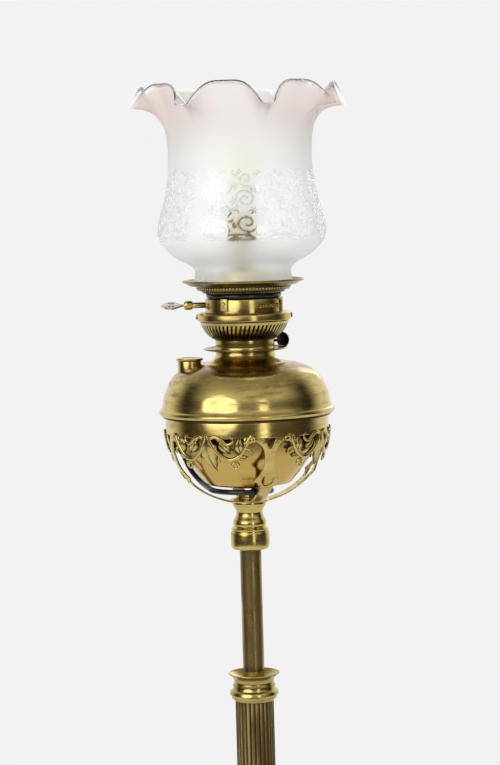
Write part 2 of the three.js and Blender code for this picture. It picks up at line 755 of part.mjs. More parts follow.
// Filler: a short tube through the dome, closed by a plug cap
const fillerPlace = around(fillerRing, fillerAzimuth, 0);
const filler = add(font, 'filler_neck', pipe(fillerRadius, fillerRadius - fillerWall, fillerTop - fillerDepth,
  fillerDepth, smallSides), brass);
filler.position.copy(fillerPlace);
const capShares = [[0.86, 0], [1, 0.5], [1, 1], [0.88, 0.8], [0, 0.9]];
function fillerCap() {
  const plug = fillerRadius - fillerWall - runningGap;
  const bottom = fillerTop + seatGap;
  return turned([[0, bottom - capPlugDepth], [plug, bottom - capPlugDepth], [plug, bottom],
    ...shaped(capShares, capRadius, bottom, capHeight)], smallSides);
}
add(assembly(), 'filler_cap', fillerCap(), brass).position.copy(fillerPlace);

// Burner: saucer, neck, slotted basket, belt and drum
function dripSaucer() {
  const line = [[neckInner - burnerWall + seatGap, saucerBottom], [fontNeckRadius + saucerWall, saucerBottom],
    [0.97 * saucerRadius, saucerBottom + 0.6 * saucerRise], [saucerRadius, saucerBottom + saucerRise]];
  return turned(sheet(line, saucerWall));
}
const winderTurn = radians(winderAzimuth - 180);
const winderPlaces = [-winderSpacing / 2, winderSpacing / 2];
const winderHoles = length => winderPlaces.map(x =>
  towardsBack(rod(winderSpindle + runningGap, 0, length), x, winderLevel).rotateZ(winderTurn));
const wickPlaces = [-wickSpacing / 2, wickSpacing / 2];
function burnerNeck() {
  const spigot = neckInner - burnerWall;
  const body = turned([[0, neckBottom], [spigot - burnerWall, neckBottom],
    [spigot - burnerWall, neckBottom - neckSpigot], [spigot, neckBottom - neckSpigot], [spigot, neckBottom],
    [fontNeckRadius, neckBottom], [fontNeckRadius, neckTop], [fontNeckRadius - burnerWall, neckTop],
    [fontNeckRadius - burnerWall, neckBottom + burnerWall], [0, neckBottom + burnerWall]]);
  const slots = wickPlaces.map(x => block(wickThickness + 2 * runningGap, wickWidth + 2 * runningGap,
    burnerWall + 2 * cutOverrun, x, 0, neckBottom - cutOverrun).rotateZ(winderTurn));
  return cut(body, ...slots, ...winderHoles(2 * fontNeckRadius));
}
const slotCutters = (count, width, near, far, bottom, height) => Array.from({ length: count }, (_, i) =>
  block(far - near, width, height, (near + far) / 2, 0, bottom).rotateZ(((i + 0.5) / count) * circle));
const basketShares = [[0.67, 0], [0.74, 0.16], [1, 1]];
const basketSlotShares = { bottom: 0.2, height: 0.64 };
function burnerBasket() {
  const line = shaped(basketShares, basketRadius, basketBottom, basketHeight);
  const cutters = slotCutters(slotCount, slotWidth, basketRadius / 2, basketRadius + cutOverrun,
    basketBottom + basketSlotShares.bottom * basketHeight, basketSlotShares.height * basketHeight);
  return cut(turned(sheet(line, burnerWall), slotCount), ...cutters);
}
const beltShares = { bevel: 0.15, top: 0.8 };
function burnerBelt() {
  const inner = beltRadius - 2 * burnerWall;
  const body = turned([[basketRadius - burnerWall, beltBottom], [beltRadius - burnerWall, beltBottom],
    [beltRadius, beltBottom + beltShares.bevel * beltHeight], [beltRadius,
    beltBottom + beltShares.top * beltHeight],
    [beltRadius - burnerWall, beltTop], [drumRadius - 2 * burnerWall, beltTop],
    [drumRadius - 2 * burnerWall, beltTop - burnerWall], [inner, beltTop - burnerWall],
    [inner, beltBottom + burnerWall], [basketRadius - burnerWall, beltBottom + burnerWall]]);
  const lugs = [-1, 1].map(side => block(2 * burnerWall, lugWidth, lugWidth, side * beltRadius, 0,
    beltBottom + (beltHeight - lugWidth) / 2));
  return join(body, ...lugs);
}
function burnerDrum() {
  const body = turned([[drumRadius - burnerWall, drumBottom], [drumRadius, drumBottom], [drumRadius, drumTop],
    [deckHoleRadius, drumTop], [deckHoleRadius, drumTop - burnerWall],
    [drumRadius - burnerWall, drumTop - burnerWall]]);
  return cut(body, towardsLeft(rod(stubRadius + seatGap, drumRadius / 2, drumRadius, smallSides), liftLevel));
}
add(font, 'drip_saucer', dripSaucer(), brass);
add(font, 'burner_neck', burnerNeck(), brass);
add(font, 'burner_basket', burnerBasket(), brass);
add(font, 'burner_belt', burnerBelt(), brass);
add(font, 'burner_drum', burnerDrum(), brass);

// Inside the burner: the core, the two wick tubes and the cone that now carries the lampholder
const coneShares = [[1, 0], [1, 0.6], [0.85, 0.82], [0.45, 0.97]];
function burnerCone() {
  const line = [[coreRadius - 2 * burnerWall, coneBottom],
    ...shaped(coneShares, coneRadius, coneBottom, coneHeight), [nippleRadius + seatGap, coneTop]];
  const exit = towardsBack(rod(flexRadius + 2 * runningGap, coneRadius / 2, coneRadius, smallSides), 0,
    turnLevel);
  return cut(turned(sheet(line, burnerWall), smallSides), exit);
}
function wickTube() {
  const bottom = neckBottom - neckSpigot;
  const height = coreTop + wickRise - bottom;
  return cut(block(wickThickness, wickWidth, height, 0, 0, bottom),
    block(wickThickness - 2 * wickWall, wickWidth - 2 * wickWall, height + 2 * cutOverrun, 0, 0,
      bottom - cutOverrun));
}
add(font, 'burner_core', cut(pipe(coreRadius, coreRadius - burnerWall, coreBottom, coreHeight, smallSides),
  ...winderHoles(2 * coreRadius)), brass);
add(font, 'burner_cone', burnerCone(), brass);
wickPlaces.forEach((x, i) => {
  const tube = add(font, `wick_tube_${i + 1}`, wickTube(), agedBrass);
  tube.position.copy(new THREE.Vector3(x, 0, 0).applyAxisAngle(new THREE.Vector3(0, 0, 1), winderTurn));
  tube.rotation.z = winderTurn;
});

// Small fittings on the drum: a riveted catch, a bracket and the coil spring hooked to it
const drumFace = drumRadius + seatGap;
const wrapped = (shape, azimuth) => common(
  outward(shape, drumFace / 2, drumFace + catchThickness, azimuth, drumBottom + seatGap),
  pipe(drumFace + catchThickness, drumFace, drumBottom, 2 * drumHeight, largeSides));
function drumCatch() {
  const half = catchWidth / 2;
  const plate = new THREE.Shape().moveTo(-half, 0).lineTo(half, 0).lineTo(half, catchHeight - half)
    .absarc(0, catchHeight - half, half, 0, Math.PI);
  const head = new THREE.Shape().absarc(0, catchHeight / 2, rivetRadius, 0, circle);
  return join(wrapped(plate, catchAzimuth), outward(head, drumFace + catchThickness / 2,
    drumFace + 2 * catchThickness, catchAzimuth, drumBottom + seatGap));
}
const bracketOutline = () => outlineOf([
  [0, 0], [bracketWidth, 0], [bracketWidth, bracketHeight], [-bracketWidth, bracketHeight],
  [-bracketWidth, bracketHeight - bracketWidth / 2], [0, bracketHeight - bracketWidth / 2]]);
function springPlaces() {
  const ring = drumFace + springRadius + springWire;
  const count = springCurls * springSteps;
  return Array.from({ length: count + 1 }, (_, i) => {
    const turn = (i / springSteps) * circle;
    const azimuth = springFrom + ((springTo - springFrom) * i) / count;
    const centre = around(ring, azimuth, drumBottom + drumHeight / 2);
    const out = around(Math.cos(turn), azimuth, Math.sin(turn));
    return { at: centre.addScaledVector(out, springRadius), out };
  });
}
add(font, 'drum_catch', drumCatch(), nickel);
add(font, 'spring_bracket', wrapped(bracketOutline(), bracketAzimuth), brass);
add(font, 'catch_spring', woundTube(springPlaces(), springWire, springSides), nickel);

// Wick winders: a spindle with a toothed wheel and a dished knob
const winderKnobShares = [
  [0, 0], [0.3, 0], [0.34, 0.3], [1, 0.5], [0.94, 1], [0.78, 0.78], [0.25, 0.74], [0, 1]];
function winder() {
  const wheel = toothed(winderTeeth, winderWheelRadius, winderWheelRadius - 2 * winderSpindle / 3,
    winderWheelWidth)
    .translate(0, 0, -winderWheelWidth / 2);
  const spindle = rod(winderSpindle, -winderWheelWidth, winderReach + winderWheelWidth + winderKnobDepth / 2);
  const knob = turned(shaped(winderKnobShares, winderKnobRadius, winderReach, winderKnobDepth), smallSides);
  return towardsBack(join(wheel, spindle, knob), 0, 0);
}
winderPlaces.forEach((x, i) => {
  const piece = add(assembly(), `wick_winder_${i + 1}`, winder(), bronze);
  piece.position.copy(new THREE.Vector3(x, 0, winderLevel).applyAxisAngle(new THREE.Vector3(0, 0, 1),
    winderTurn));
  piece.rotation.z = winderTurn;
});

// Gallery: the dished shade ring, its beaded skirt and the rack
const dishShares = [[0.45, 0.35], [0.85, 0.8], [1, 1]];
function galleryRing() {
  const seat = shadeFootRadius + gallerySheet;
  const dish = dishShares.map(([r, z]) => [seat + r * (galleryRadius - seat),
    galleryBottom + z * galleryRise]);
  return turned(sheet([[galleryHoleRadius, galleryBottom], [seat, galleryBottom], ...dish], gallerySheet),
    mediumSides);
}
const skirtShares = { knee: 0.3, waist: 0.97, waistHeight: 0.75, gapBottom: 0.35, gapHeight: 0.4 };
function gallerySkirt() {
  const inner = skirtFootRadius - gallerySheet;
  const top = skirtBottom + skirtHeight;
  const crown = turned([[inner, skirtBottom], [skirtFootRadius, skirtBottom],
    [skirtFootRadius + gallerySheet, skirtBottom + skirtShares.knee * skirtHeight],
    [skirtShares.waist * skirtTopRadius, skirtBottom + skirtShares.waistHeight * skirtHeight],
    [skirtTopRadius, top], [inner, top]], skirtBeads);
  return cut(crown, ...slotCutters(skirtBeads, beadGap, skirtFootRadius + gallerySheet / 2,
    skirtTopRadius + cutOverrun, skirtBottom + skirtShares.gapBottom * skirtHeight,
    skirtShares.gapHeight * skirtHeight));
}
const rackPitch = (circle * pinionPitchRadius) / pinionTeeth;
const acrossLeft = geometry => geometry.rotateX(Math.PI / 2).rotateZ(Math.PI / 2)
  .translate(-rackRing - rackThickness, 0, 0);
function galleryRack() {
  const root = pinionPitchRadius + toothDedendum;
  const tip = pinionPitchRadius - toothAddendum;
  const bottom = rackTop - rackLength;
  const points = [[root, bottom], [root + rackWidth, bottom], [root + rackWidth, rackTop], [root, rackTop]];
  const first = Math.floor((rackTop - liftLevel) / rackPitch) - 1;
  const last = Math.ceil((bottom - liftLevel) / rackPitch);
  for (let i = first; i >= last; i--) {
    const centre = liftLevel + (i + 0.5) * rackPitch;
    points.push([root, centre + toothHalf + toothFlank], [tip, centre + toothHalf - toothFlank],
      [tip, centre - toothHalf + toothFlank], [root, centre - toothHalf - toothFlank]);
  }
  return acrossLeft(extruded(outlineOf(points), rackThickness));
}
const gallery = assembly();
add(gallery, 'gallery_ring', galleryRing(), brass);
add(gallery, 'gallery_skirt', gallerySkirt(), brass);
add(gallery, 'gallery_rack', galleryRack(), brass);

// Lift: the stub on the drum, the shaft with its pinion and knurled barrel, and the openwork key
function liftStub() {
  return towardsLeft(pipe(stubRadius, liftSpindle + seatGap, drumRadius - 2 * burnerWall,
    stubEnd - drumRadius + 2 * burnerWall, smallSides), liftLevel);
}
function pinion() {
  const root = pinionPitchRadius - toothDedendum;
  const tip = pinionPitchRadius + toothAddendum;
  const flank = toothFlank / pinionPitchRadius;
  const half = toothHalf / pinionPitchRadius;
  const points = Array.from({ length: pinionTeeth }, (_, i) => (i / pinionTeeth) * circle).flatMap(centre =>
    [[root, -half - flank], [tip, -half + flank], [tip, half - flank], [root, half + flank]]
      .map(([radius, turn]) => [radius * Math.cos(centre + turn), radius * Math.sin(centre + turn)]));
  return acrossLeft(extruded(outlineOf(points), rackThickness)).translate(0, 0, liftLevel);
}
function liftShaft() {
  const shaftFrom = rackRing + seatGap;
  const knurl = toothed(knurlTeeth, knurlRadius, 0.92 * knurlRadius, 0.7 * knurlLength)
    .translate(0, 0, stubEnd + seatGap + 0.15 * knurlLength);
  const barrel = rod(0.86 * knurlRadius, stubEnd + seatGap, knurlLength, smallSides);
  const shaft = rod(liftSpindle, shaftFrom, knurlEnd - shaftFrom);
  return join(pinion(), towardsLeft(join(knurl, barrel, shaft), liftLevel));
}
const keyShares = [[0.12, 0.18], [0.3, 0.62], [0.5, 1], [0.74, 0.92], [0.86, 0.55], [1, 0.12]];
const keyStemShare = 0.16;
const keyLoopShares = [0.56, 0.5];
function liftKey() {
  const wing = keyShares.map(([x, y]) => [x * keyLength, y * keyHalf]);
  const shape = outlineOf([[0, -keyStemShare * keyHalf], ...wing.map(([x, y]) => [x, -y]), ...wing.reverse(),
    [0, keyStemShare * keyHalf]]);
  for (const side of [-1, 1]) {
    shape.holes.push(new THREE.Path().absarc(keyLoopShares[0] * keyLength, side * keyLoopShares[1] * keyHalf,
      keyLoopRadius, 0, circle, true));
  }
  return extruded(shape, keyThickness, 5).translate(0, 0, -keyThickness / 2)
    .rotateZ(Math.PI).rotateX(radians(keyTilt)).translate(-knurlEnd - seatGap, 0, liftLevel);
}
add(font, 'lift_stub', liftStub(), brass);
const lift = assembly();
add(lift, 'lift_shaft', liftShaft(), brass);
add(lift, 'lift_key', liftKey(), nickel);

// Crimped glass shade: turned, then its rim waved in eight lobes
const shadeShares = [
  [0.596, 0], [0.573, 0.08], [0.83, 0.16], [0.98, 0.24], [0.99, 0.32], [0.9, 0.47], [0.845, 0.62],
  [0.85, 0.77], [0.93, 0.89], [1.06, 0.955], [1.241, 1]];
const crimpStartShare = 0.8;
const crimpSteps = 4;
function glassShade() {
  const line = shaped(shadeShares, shadeRadius, shadeBottom, shadeHeight);
  line[0][0] = shadeFootRadius;
  line[line.length - 1][0] = rimRadius;
  const glass = turned(sheet(line, shadeWall), crimpSteps * crimpLobes).rotateZ(radians(crimpAzimuth));
  const position = glass.getAttribute('position');
  for (let i = 0; i < position.count; i++) {
    const [x, y, z] = [position.getX(i), position.getY(i), position.getZ(i)];
    const weight = THREE.MathUtils.smoothstep((z - shadeBottom) / shadeHeight, crimpStartShare, 1);
    const wave = weight * Math.cos(crimpLobes * (Math.atan2(x, -y) - radians(crimpAzimuth)));
    const grown = 1 + (crimpOut * wave) / Math.hypot(x, y);
    position.setXYZ(i, x * grown, y * grown, z - crimpDown * wave);
  }
  return glass;
}
add(assembly(), 'glass_shade', glassShade(), frosted);

// Lampholder on the cone, and the bulb in it
const holderShares = [[0.8, 0], [1, 0.035], [1, 1]];
function holderBody() {
  const bore = flexRadius + seatGap;
  const foot = coneTop - 2 * burnerWall;
  const inner = holderRadius - holderWall;
  return turned([[bore, foot], [nippleRadius, foot], [nippleRadius, holderBottom],
    ...shaped(holderShares, holderRadius, holderBottom, holderHeight), [inner, holderTop],
    [inner, insertBottom - seatGap], [bore, insertBottom - seatGap]], smallSides);
}
const insertShares = [[0, 0], [1, 0], [1, 0.5], [0.7, 0.6], [0.7, 0.8], [0, 0.8]];
function holderInsert() {
  const radius = holderRadius - holderWall - runningGap;
  const plungers = [-1, 1].map(side => rod(plungerRadius, insertBottom + insertHeight / 2, insertHeight / 2)
    .translate(side * 2 * plungerRadius, 0, 0));
  return join(turned(shaped(insertShares, radius, insertBottom, insertHeight), smallSides), ...plungers);
}
function bulbCap() {
  const reach = bulbCapRadius + bulbPinLength;
  const pins = towardsLeft(rod(bulbPinRadius, -reach, 2 * reach), bulbCapBottom + bulbCapHeight / 3);
  return join(rod(bulbCapRadius, bulbCapBottom, bulbCapHeight, smallSides), pins);
}
const bulbShares = [
  [0.44, 0], [0.46, 0.3], [0.85, 0.5], [1, 0.66], [0.9, 0.84], [0.55, 0.96], [0, 1]];
add(font, 'holder_body', holderBody(), brass);
add(font, 'holder_insert', holderInsert(), black);
add(font, 'holder_ring', pipe(holderRingRadius, bulbCapRadius + bulbPinLength + runningGap,
  holderTop + seatGap,
  holderRingHeight), white);
const bulb = assembly();
add(bulb, 'bulb_cap', bulbCap(), nickel);
add(bulb, 'bulb_glass', turned([[0, bulbBottom], ...shaped(bulbShares, bulbRadius, bulbBottom,
  bulbHeight)]), pearl);

// Flex: down from the holder, out through the cone, once round the burner, down behind the font,
// in at the back of the cradle, under the font and into the tube. Places are radius, azimuth, height.
const turnPlaces = [
  [0, 180, 42], [0, 180, 30], [0, 180, 19], [0.9, 180, 10.5], [4.5, 180, 4], [11, 180, 0.7], [19, 180, 0],
  [27, 181, 0], [32.6, 186, 0], [35, 197, 0], [35.3, 225, 0], [35.3, 255, 0], [35.3, 285, 0], [35.3, 315, 0],
  [35.3, 345, 0], [35.3, 375, 0], [35.3, 405, 0], [35.3, 435, 0], [35.3, 465, 0], [35.4, 495, 0],
  [37, 514, 0], [41, 524, -0.3], [45.5, 531, -3], [49.3, 536, -8.5], [50.6, 538, -15.5]];
const dropPlaces = [
  [50.6, 539, 98], [50.2, 540, 88], [49.4, 541, 78], [49, 542, 70], [50.6, 544, 62], [55.6, 547, 56.6],
  [62, 551, 53], [69, 555, 48], [75, 559, 41.5], [79.4, 563, 33.5], [82.6, 567, 25.5], [86, 571, 16],
  [90.3, 575, 7.5], [91.4, 578, 0], [90.4, 581, -8], [88, 584, -16], [85.2, 588, -24.5], [82, 592, -34],
  [77.8, 596, -43.5], [71.5, 600, -52], [64, 603, -59.6]];
const cradlePlaces = [
  [56, 608, -65], [49, 615, -68.8], [43.5, 626, -71], [40, 640, -72.6], [38.5, 655, -73.6], [38.5, 680,
  -73.6],
  [38.5, 708, -73.6], [38.5, 736, -73.6], [37, 750, -73.7], [32.5, 763, -74], [26, 776, -74.2],
  [18.5, 790, -74.2], [11.5, 806, -74.3], [7, 806, -75], [3.4, 806, -77], [1, 806, -80.3],
  [0, 806, -85], [0, 806, -94]];
const placed = (places, level) => places.map(([radius, azimuth, height]) => around(radius, azimuth,
  level + height));
const lampRoute = routeThrough([...placed(turnPlaces, turnLevel), ...placed(dropPlaces, fontSeat),
  ...placed(cradlePlaces, fontSeat)]);
const turnEnd = turnPlaces.length - 1;
const dropEnd = turnEnd + dropPlaces.length;
const routeEnd = dropEnd + cradlePlaces.length;
const stemFlexTop = lampRoute.points[routeEnd].z - seatGap;
add(font, 'flex_turn', flexAlong(lampRoute, 0, turnEnd, 23), black);
add(head, 'flex_drop', flexAlong(lampRoute, turnEnd, dropEnd, 12), black);
add(head, 'flex_cradle', flexAlong(lampRoute, dropEnd, routeEnd, 16), black);
add(head, 'flex_stem', rod(flexRadius, tubeBottom, stemFlexTop - tubeBottom, flexSides), black);

// Inside the column and base, and out through the cord bush
const cordBushFace = baseRadius + seatGap;
const cordBushShares = { shank: 0.24, flange: 0.33, nose: 0.5 };
const cordBushEnd = cordBushFace + (1 - cordBushShares.shank) * cordBushLength;
function cordBush() {
  const bore = flexRadius + seatGap;
  const at = share => cordBushFace + (share - cordBushShares.shank) * cordBushLength;
  return towardsBack(turned([[bore, at(0)], [cordBushShank, at(0)], [cordBushShank, cordBushFace],
    [cordBushRadius, cordBushFace], [cordBushRadius, at(cordBushShares.flange)],
    [cordBushShares.nose * cordBushRadius + burnerWall, at(cordBushShares.nose)],
    [bore + burnerWall, cordBushEnd], [bore, cordBushEnd]], smallSides), 0, leadLevel);
}
const columnPlaces = [
  [0, 0, 262], [0, 0, 210], [0, 0, 160], [0, 0, 118], [0, 0.3, 96], [0, 2.5, 84], [0, 9, 73.5],
  [0, 20, 65.5], [0, 36, 60.5], [0, 56, 57.5], [0, 78, 54], [0, 100, 49.5], [0, 124, 45.6], [0, 140, 45]];
const columnRoute = routeThrough([...columnPlaces, [0, cordBushFace - 2 * seatGap, leadLevel]]
  .map(p => new THREE.Vector3(...p)));
add(stand, 'cord_bush', cordBush(), black);
add(stand, 'flex_column', flexAlong(columnRoute, 0, columnPlaces.length, 12), black);

// Free lead: from the bush to the top of its coil, and from the foot of the coil to the plug
const coilTop = seatGap + flexRadius + (coilLayers - 1) * coilPitch;
const coilOuter = coilMeanRadius + coilReach;
const leadPlaces = [
  [0, 163, 45], [0, 174, 45], [0, 184, 44.8], [0, 191, 43.9], [0, 199, 41.6], [0, 208, 37.4], [0, 217, 32.4], [0, 226, 27.4],
  [0, 234, 23.6], [0, 241, 21.5]];
const coilY = 251;
const coilStart = coilY - 2 * flexRadius - seatGap;
const leadRoute = routeThrough([[0, cordBushFace, leadLevel], ...leadPlaces, [0, coilStart, coilTop]]
  .map(p => new THREE.Vector3(...p)));
const coilTurns = coilLayers * coilTurnsPerLayer;
function coilPlace(turns) {
  const layer = Math.min(Math.floor(turns / coilTurnsPerLayer), coilLayers - 1);
  const into = turns / coilTurnsPerLayer - layer;
  const radius = coilMeanRadius + coilReach * (layer % 2 ? 2 * into - 1 : 1 - 2 * into);
  const reversals = Array.from({ length: coilLayers - 1 }, (_, i) => (i + 1) * coilTurnsPerLayer);
  const climbed = reversals.reduce((sum, at) => sum + THREE.MathUtils.clamp(2 * (turns - at) + 0.5, 0, 1), 0);
  const angle = Math.PI - turns * circle;
  const out = new THREE.Vector3(Math.cos(angle), Math.sin(angle), 0);
  const centre = new THREE.Vector3(coilOuter, coilY, coilTop - climbed * coilPitch);
  return { at: centre.addScaledVector(out, radius), out };
}
function coilPlaces() {
  const count = Math.round(coilTurns * coilLoopSteps);
  const loops = Array.from({ length: count + 1 }, (_, i) => coilPlace((i / count) * coilTurns));
  const [start, end] = [loops[0], loops[loops.length - 1]];
  const run = 2 * flexRadius;
  return [{ at: start.at.clone().add(new THREE.Vector3(0, -run, 0)), out: start.out }, ...loops,
    { at: end.at.clone().add(new THREE.Vector3(-run, 0, 0)), out: end.out }];
}
const coilEnd = coilPlace(coilTurns).at;
const tailStart = coilEnd.x - 2 * flexRadius - seatGap;
const tailPlaces = [[22, 0, 0], [12, 0, 0], [2, -0.4, 0.1], [-8, -1.2, 0.6], [-17, -1.9, 1.9], [-26, -2.3,
  3.5], [-33, -2.5, 4.2]];
const plugFace = -40;
const tailLift = 4.3;
const tailRoute = routeThrough([[tailStart, 0, 0], ...tailPlaces, [plugFace, -2.5, tailLift]]
  .map(([x, y, z]) => new THREE.Vector3(x, coilEnd.y + y, coilEnd.z + z)));
add(stand, 'flex_lead', flexAlong(leadRoute, 0, leadPlaces.length + 1, 9), black);
add(stand, 'flex_coil', woundTube(coilPlaces(), flexRadius, coilSides), black);
add(stand, 'flex_tail', flexAlong(tailRoute, 0, tailPlaces.length + 1, 5), black);

// Three-pin plug, lying on its back
function roundedOutline(width, height, corner) {
  const [x, y] = [width / 2, height / 2];
  return new THREE.Shape().moveTo(x, -y + corner)
    .absarc(x - corner, y - corner, corner, 0, Math.PI / 2)
    .absarc(corner - x, y - corner, corner, Math.PI / 2, Math.PI)
    .absarc(corner - x, corner - y, corner, Math.PI, 1.5 * Math.PI)
    .absarc(x - corner, corner - y, corner, 1.5 * Math.PI, circle);
}
function plugBody() {
  const body = extruded(roundedOutline(plugLength, plugWidth, plugCorner), plugDepth);
  const live = [-1, 1].map(side => block(plugPinThickness, plugPinWidth, plugPinLength + cutOverrun,
    plugPinSpacing / 2, (side * plugPinSpacing) / 2, plugDepth - cutOverrun));
  const earth = block(plugPinWidth, plugPinThickness, plugEarthLength + cutOverrun,
    -plugPinSpacing / 2, 0, plugDepth - cutOverrun);
  return join(body, ...live, earth);
}
add(stand, 'plug', plugBody(), black).position.set(
  plugFace - seatGap - plugLength / 2, tailRoute.points[tailPlaces.length + 1].y, seatGap);

console.log('least gap of coil', leastGap(coilPlaces(), flexRadius, coilLoopSteps).toFixed(2),
  'and of spring', leastGap(springPlaces(), springWire, springSteps).toFixed(2));

export default lamp;
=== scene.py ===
"""Dresses the floor oil lamp: brass turnings, pierced cradle, burner, crimped shade, flex, stage."""
import math

import bmesh
import bpy
from bpy.props import FloatProperty, FloatVectorProperty, IntProperty, PointerProperty
from mathutils import Matrix, Vector, kdtree


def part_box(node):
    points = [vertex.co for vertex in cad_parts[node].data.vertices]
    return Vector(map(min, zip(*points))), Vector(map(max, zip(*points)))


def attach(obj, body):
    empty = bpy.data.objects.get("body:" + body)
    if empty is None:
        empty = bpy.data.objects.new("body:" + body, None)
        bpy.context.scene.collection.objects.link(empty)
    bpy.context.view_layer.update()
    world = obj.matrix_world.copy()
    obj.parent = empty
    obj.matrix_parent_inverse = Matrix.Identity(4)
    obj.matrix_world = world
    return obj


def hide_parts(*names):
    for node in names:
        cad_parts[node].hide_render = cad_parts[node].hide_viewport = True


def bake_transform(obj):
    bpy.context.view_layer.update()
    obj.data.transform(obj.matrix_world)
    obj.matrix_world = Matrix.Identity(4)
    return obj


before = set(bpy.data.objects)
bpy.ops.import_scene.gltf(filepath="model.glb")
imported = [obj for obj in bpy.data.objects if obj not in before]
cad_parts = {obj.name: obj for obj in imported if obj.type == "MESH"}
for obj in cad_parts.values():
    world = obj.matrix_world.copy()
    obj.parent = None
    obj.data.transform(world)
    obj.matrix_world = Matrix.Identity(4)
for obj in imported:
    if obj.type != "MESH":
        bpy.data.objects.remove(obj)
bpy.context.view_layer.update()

bl_info = {
    "name": "Floor oil lamp",
    "version": (1, 0, 0),
    "blender": (4, 5, 0),
    "location": "View3D > Sidebar > Lamp",
    "description": "Dresses the frame of a telescopic brass floor oil lamp",
    "category": "Object",
}

MM = 0.001


class LampLooks(bpy.types.PropertyGroup):
    """Colours of the lamp's finishes"""
    brass_tone: FloatVectorProperty(name="Brass", description="Polished brass", subtype="COLOR", size=3,
                                    min=0, max=1, default=(0.60, 0.465, 0.158))
    stain_tone: FloatVectorProperty(name="Stain", description="Tarnish on the polished brass", subtype="COLOR",
                                    size=3, min=0, max=1, default=(0.27, 0.175, 0.065))
    patina_tone: FloatVectorProperty(name="Patina", description="Brown patina of the tube and column",
                                     subtype="COLOR", size=3, min=0, max=1, default=(0.36, 0.272, 0.108))
    frost_tone: FloatVectorProperty(name="Frost", description="Frosted glass", subtype="COLOR", size=3,
                                    min=0, max=1, default=(0.97, 0.97, 0.955))
    blush_tone: FloatVectorProperty(name="Blush", description="Pink tint under the shade's rim",
                                    subtype="COLOR", size=3, min=0, max=1, default=(0.92, 0.75, 0.70))


class LampSizes(bpy.types.PropertyGroup):
    """Sizes and counts of the details added to the frame"""
    reeds: IntProperty(name="Reeds", description="Reeds round the column", default=24, min=8, max=48)
    reed_depth: FloatProperty(name="Reed depth", description="Depth of the grooves between the reeds",
                              default=1.5 * MM, min=0, unit="LENGTH")
    slots: IntProperty(name="Slots", description="Slots round the burner basket", default=60, min=12, max=90)
    slot_lean: FloatProperty(name="Slot lean", description="Turn of the slots from bottom to top",
                             default=math.radians(5), unit="ROTATION")
    beads: IntProperty(name="Beads", description="Beads round the gallery skirt", default=88, min=12, max=160)
    relief: FloatProperty(name="Relief", description="Height of the cradle's leaf and stems over its sheet",
                          default=1.8 * MM, min=0, unit="LENGTH")
    lobes: IntProperty(name="Lobes", description="Waves of the shade's crimped rim", default=8, min=3, max=16)


class LampStage(bpy.types.PropertyGroup):
    """Camera, lights and surroundings"""
    lens: FloatProperty(name="Lens", description="Focal length in millimetres", default=112.94, min=10)
    distance: FloatProperty(name="Distance", description="Camera distance in front of the lamp", default=2.4,
                            unit="LENGTH")
    camera_height: FloatProperty(name="Camera height", description="Camera height above the floor",
                                 default=1.4, unit="LENGTH")
    pitch: FloatProperty(name="Pitch", description="How far the camera looks down", default=math.radians(4.7),
                         unit="ROTATION")
    pan: FloatProperty(name="Pan", description="Camera turn in degrees", default=-0.095)
    roll: FloatProperty(name="Roll", description="Camera tilt to one side", default=math.radians(1.55),
                        unit="ROTATION")
    fill: FloatProperty(name="Fill", description="Brightness of the room as soft light", default=0.78, min=0)
    left_light: FloatProperty(name="Left light", description="Brightness of the left umbrella", default=2.8,
                              min=0)
    right_light: FloatProperty(name="Right light", description="Brightness of the right softbox", default=1.9,
                               min=0)
    front_to: FloatProperty(name="Front to", default=-0.62,
                            description="Where the front of the room ends, as metal reflects it")
    dark_from: FloatProperty(name="Dark at", description="Where the room beside the lamp is darkest",
                             default=0.1)
    white_from: FloatProperty(name="White from", description="Where the white back of the room starts",
                              default=0.68)
    ceiling: FloatProperty(name="Ceiling", description="Brightness of the ceiling in front of the lamp",
                           default=0.85, min=0)
    backdrop: FloatProperty(name="Backdrop", description="Brightness of the pale background", default=0.885,
                            min=0, max=1)
    room_tone: FloatVectorProperty(name="Room", description="Front of the room as metal reflects it",
                                   subtype="COLOR", size=3, min=0, max=1, default=(0.105, 0.085, 0.055))


# Small modelling helpers

def eased(value, low, high):
    """0 up to low and 1 from high on, with a soft start and end between."""
    t = min(max((value - low) / (high - low), 0.0), 1.0)
    return t * t * (3 - 2 * t)


def levels(node):
    """A CAD node's lowest and highest level, in millimetres."""
    low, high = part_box(node)
    return low.z / MM, high.z / MM


def linked(name, data):
    """A new object in the scene."""
    made = bpy.data.objects.new(name, data)
    bpy.context.scene.collection.objects.link(made)
    return made


def evaluated_mesh(piece):
    """A new mesh of a piece as its curve settings or modifiers make it."""
    bpy.context.view_layer.update()
    return bpy.data.meshes.new_from_object(piece.evaluated_get(bpy.context.evaluated_depsgraph_get()))


def in_metres(shape):
    """Scales a bmesh that was modelled in millimetres."""
    bmesh.ops.scale(shape, verts=shape.verts, vec=(MM, MM, MM))
    return shape


def tree_of(points):
    """A search tree of points."""
    tree = kdtree.KDTree(len(points))
    for i, p in enumerate(points):
        tree.insert(p, i)
    tree.balance()
    return tree


def path_length(points):
    """The length of a line through points."""
    return sum((q - p).length for p, q in zip(points, points[1:]))


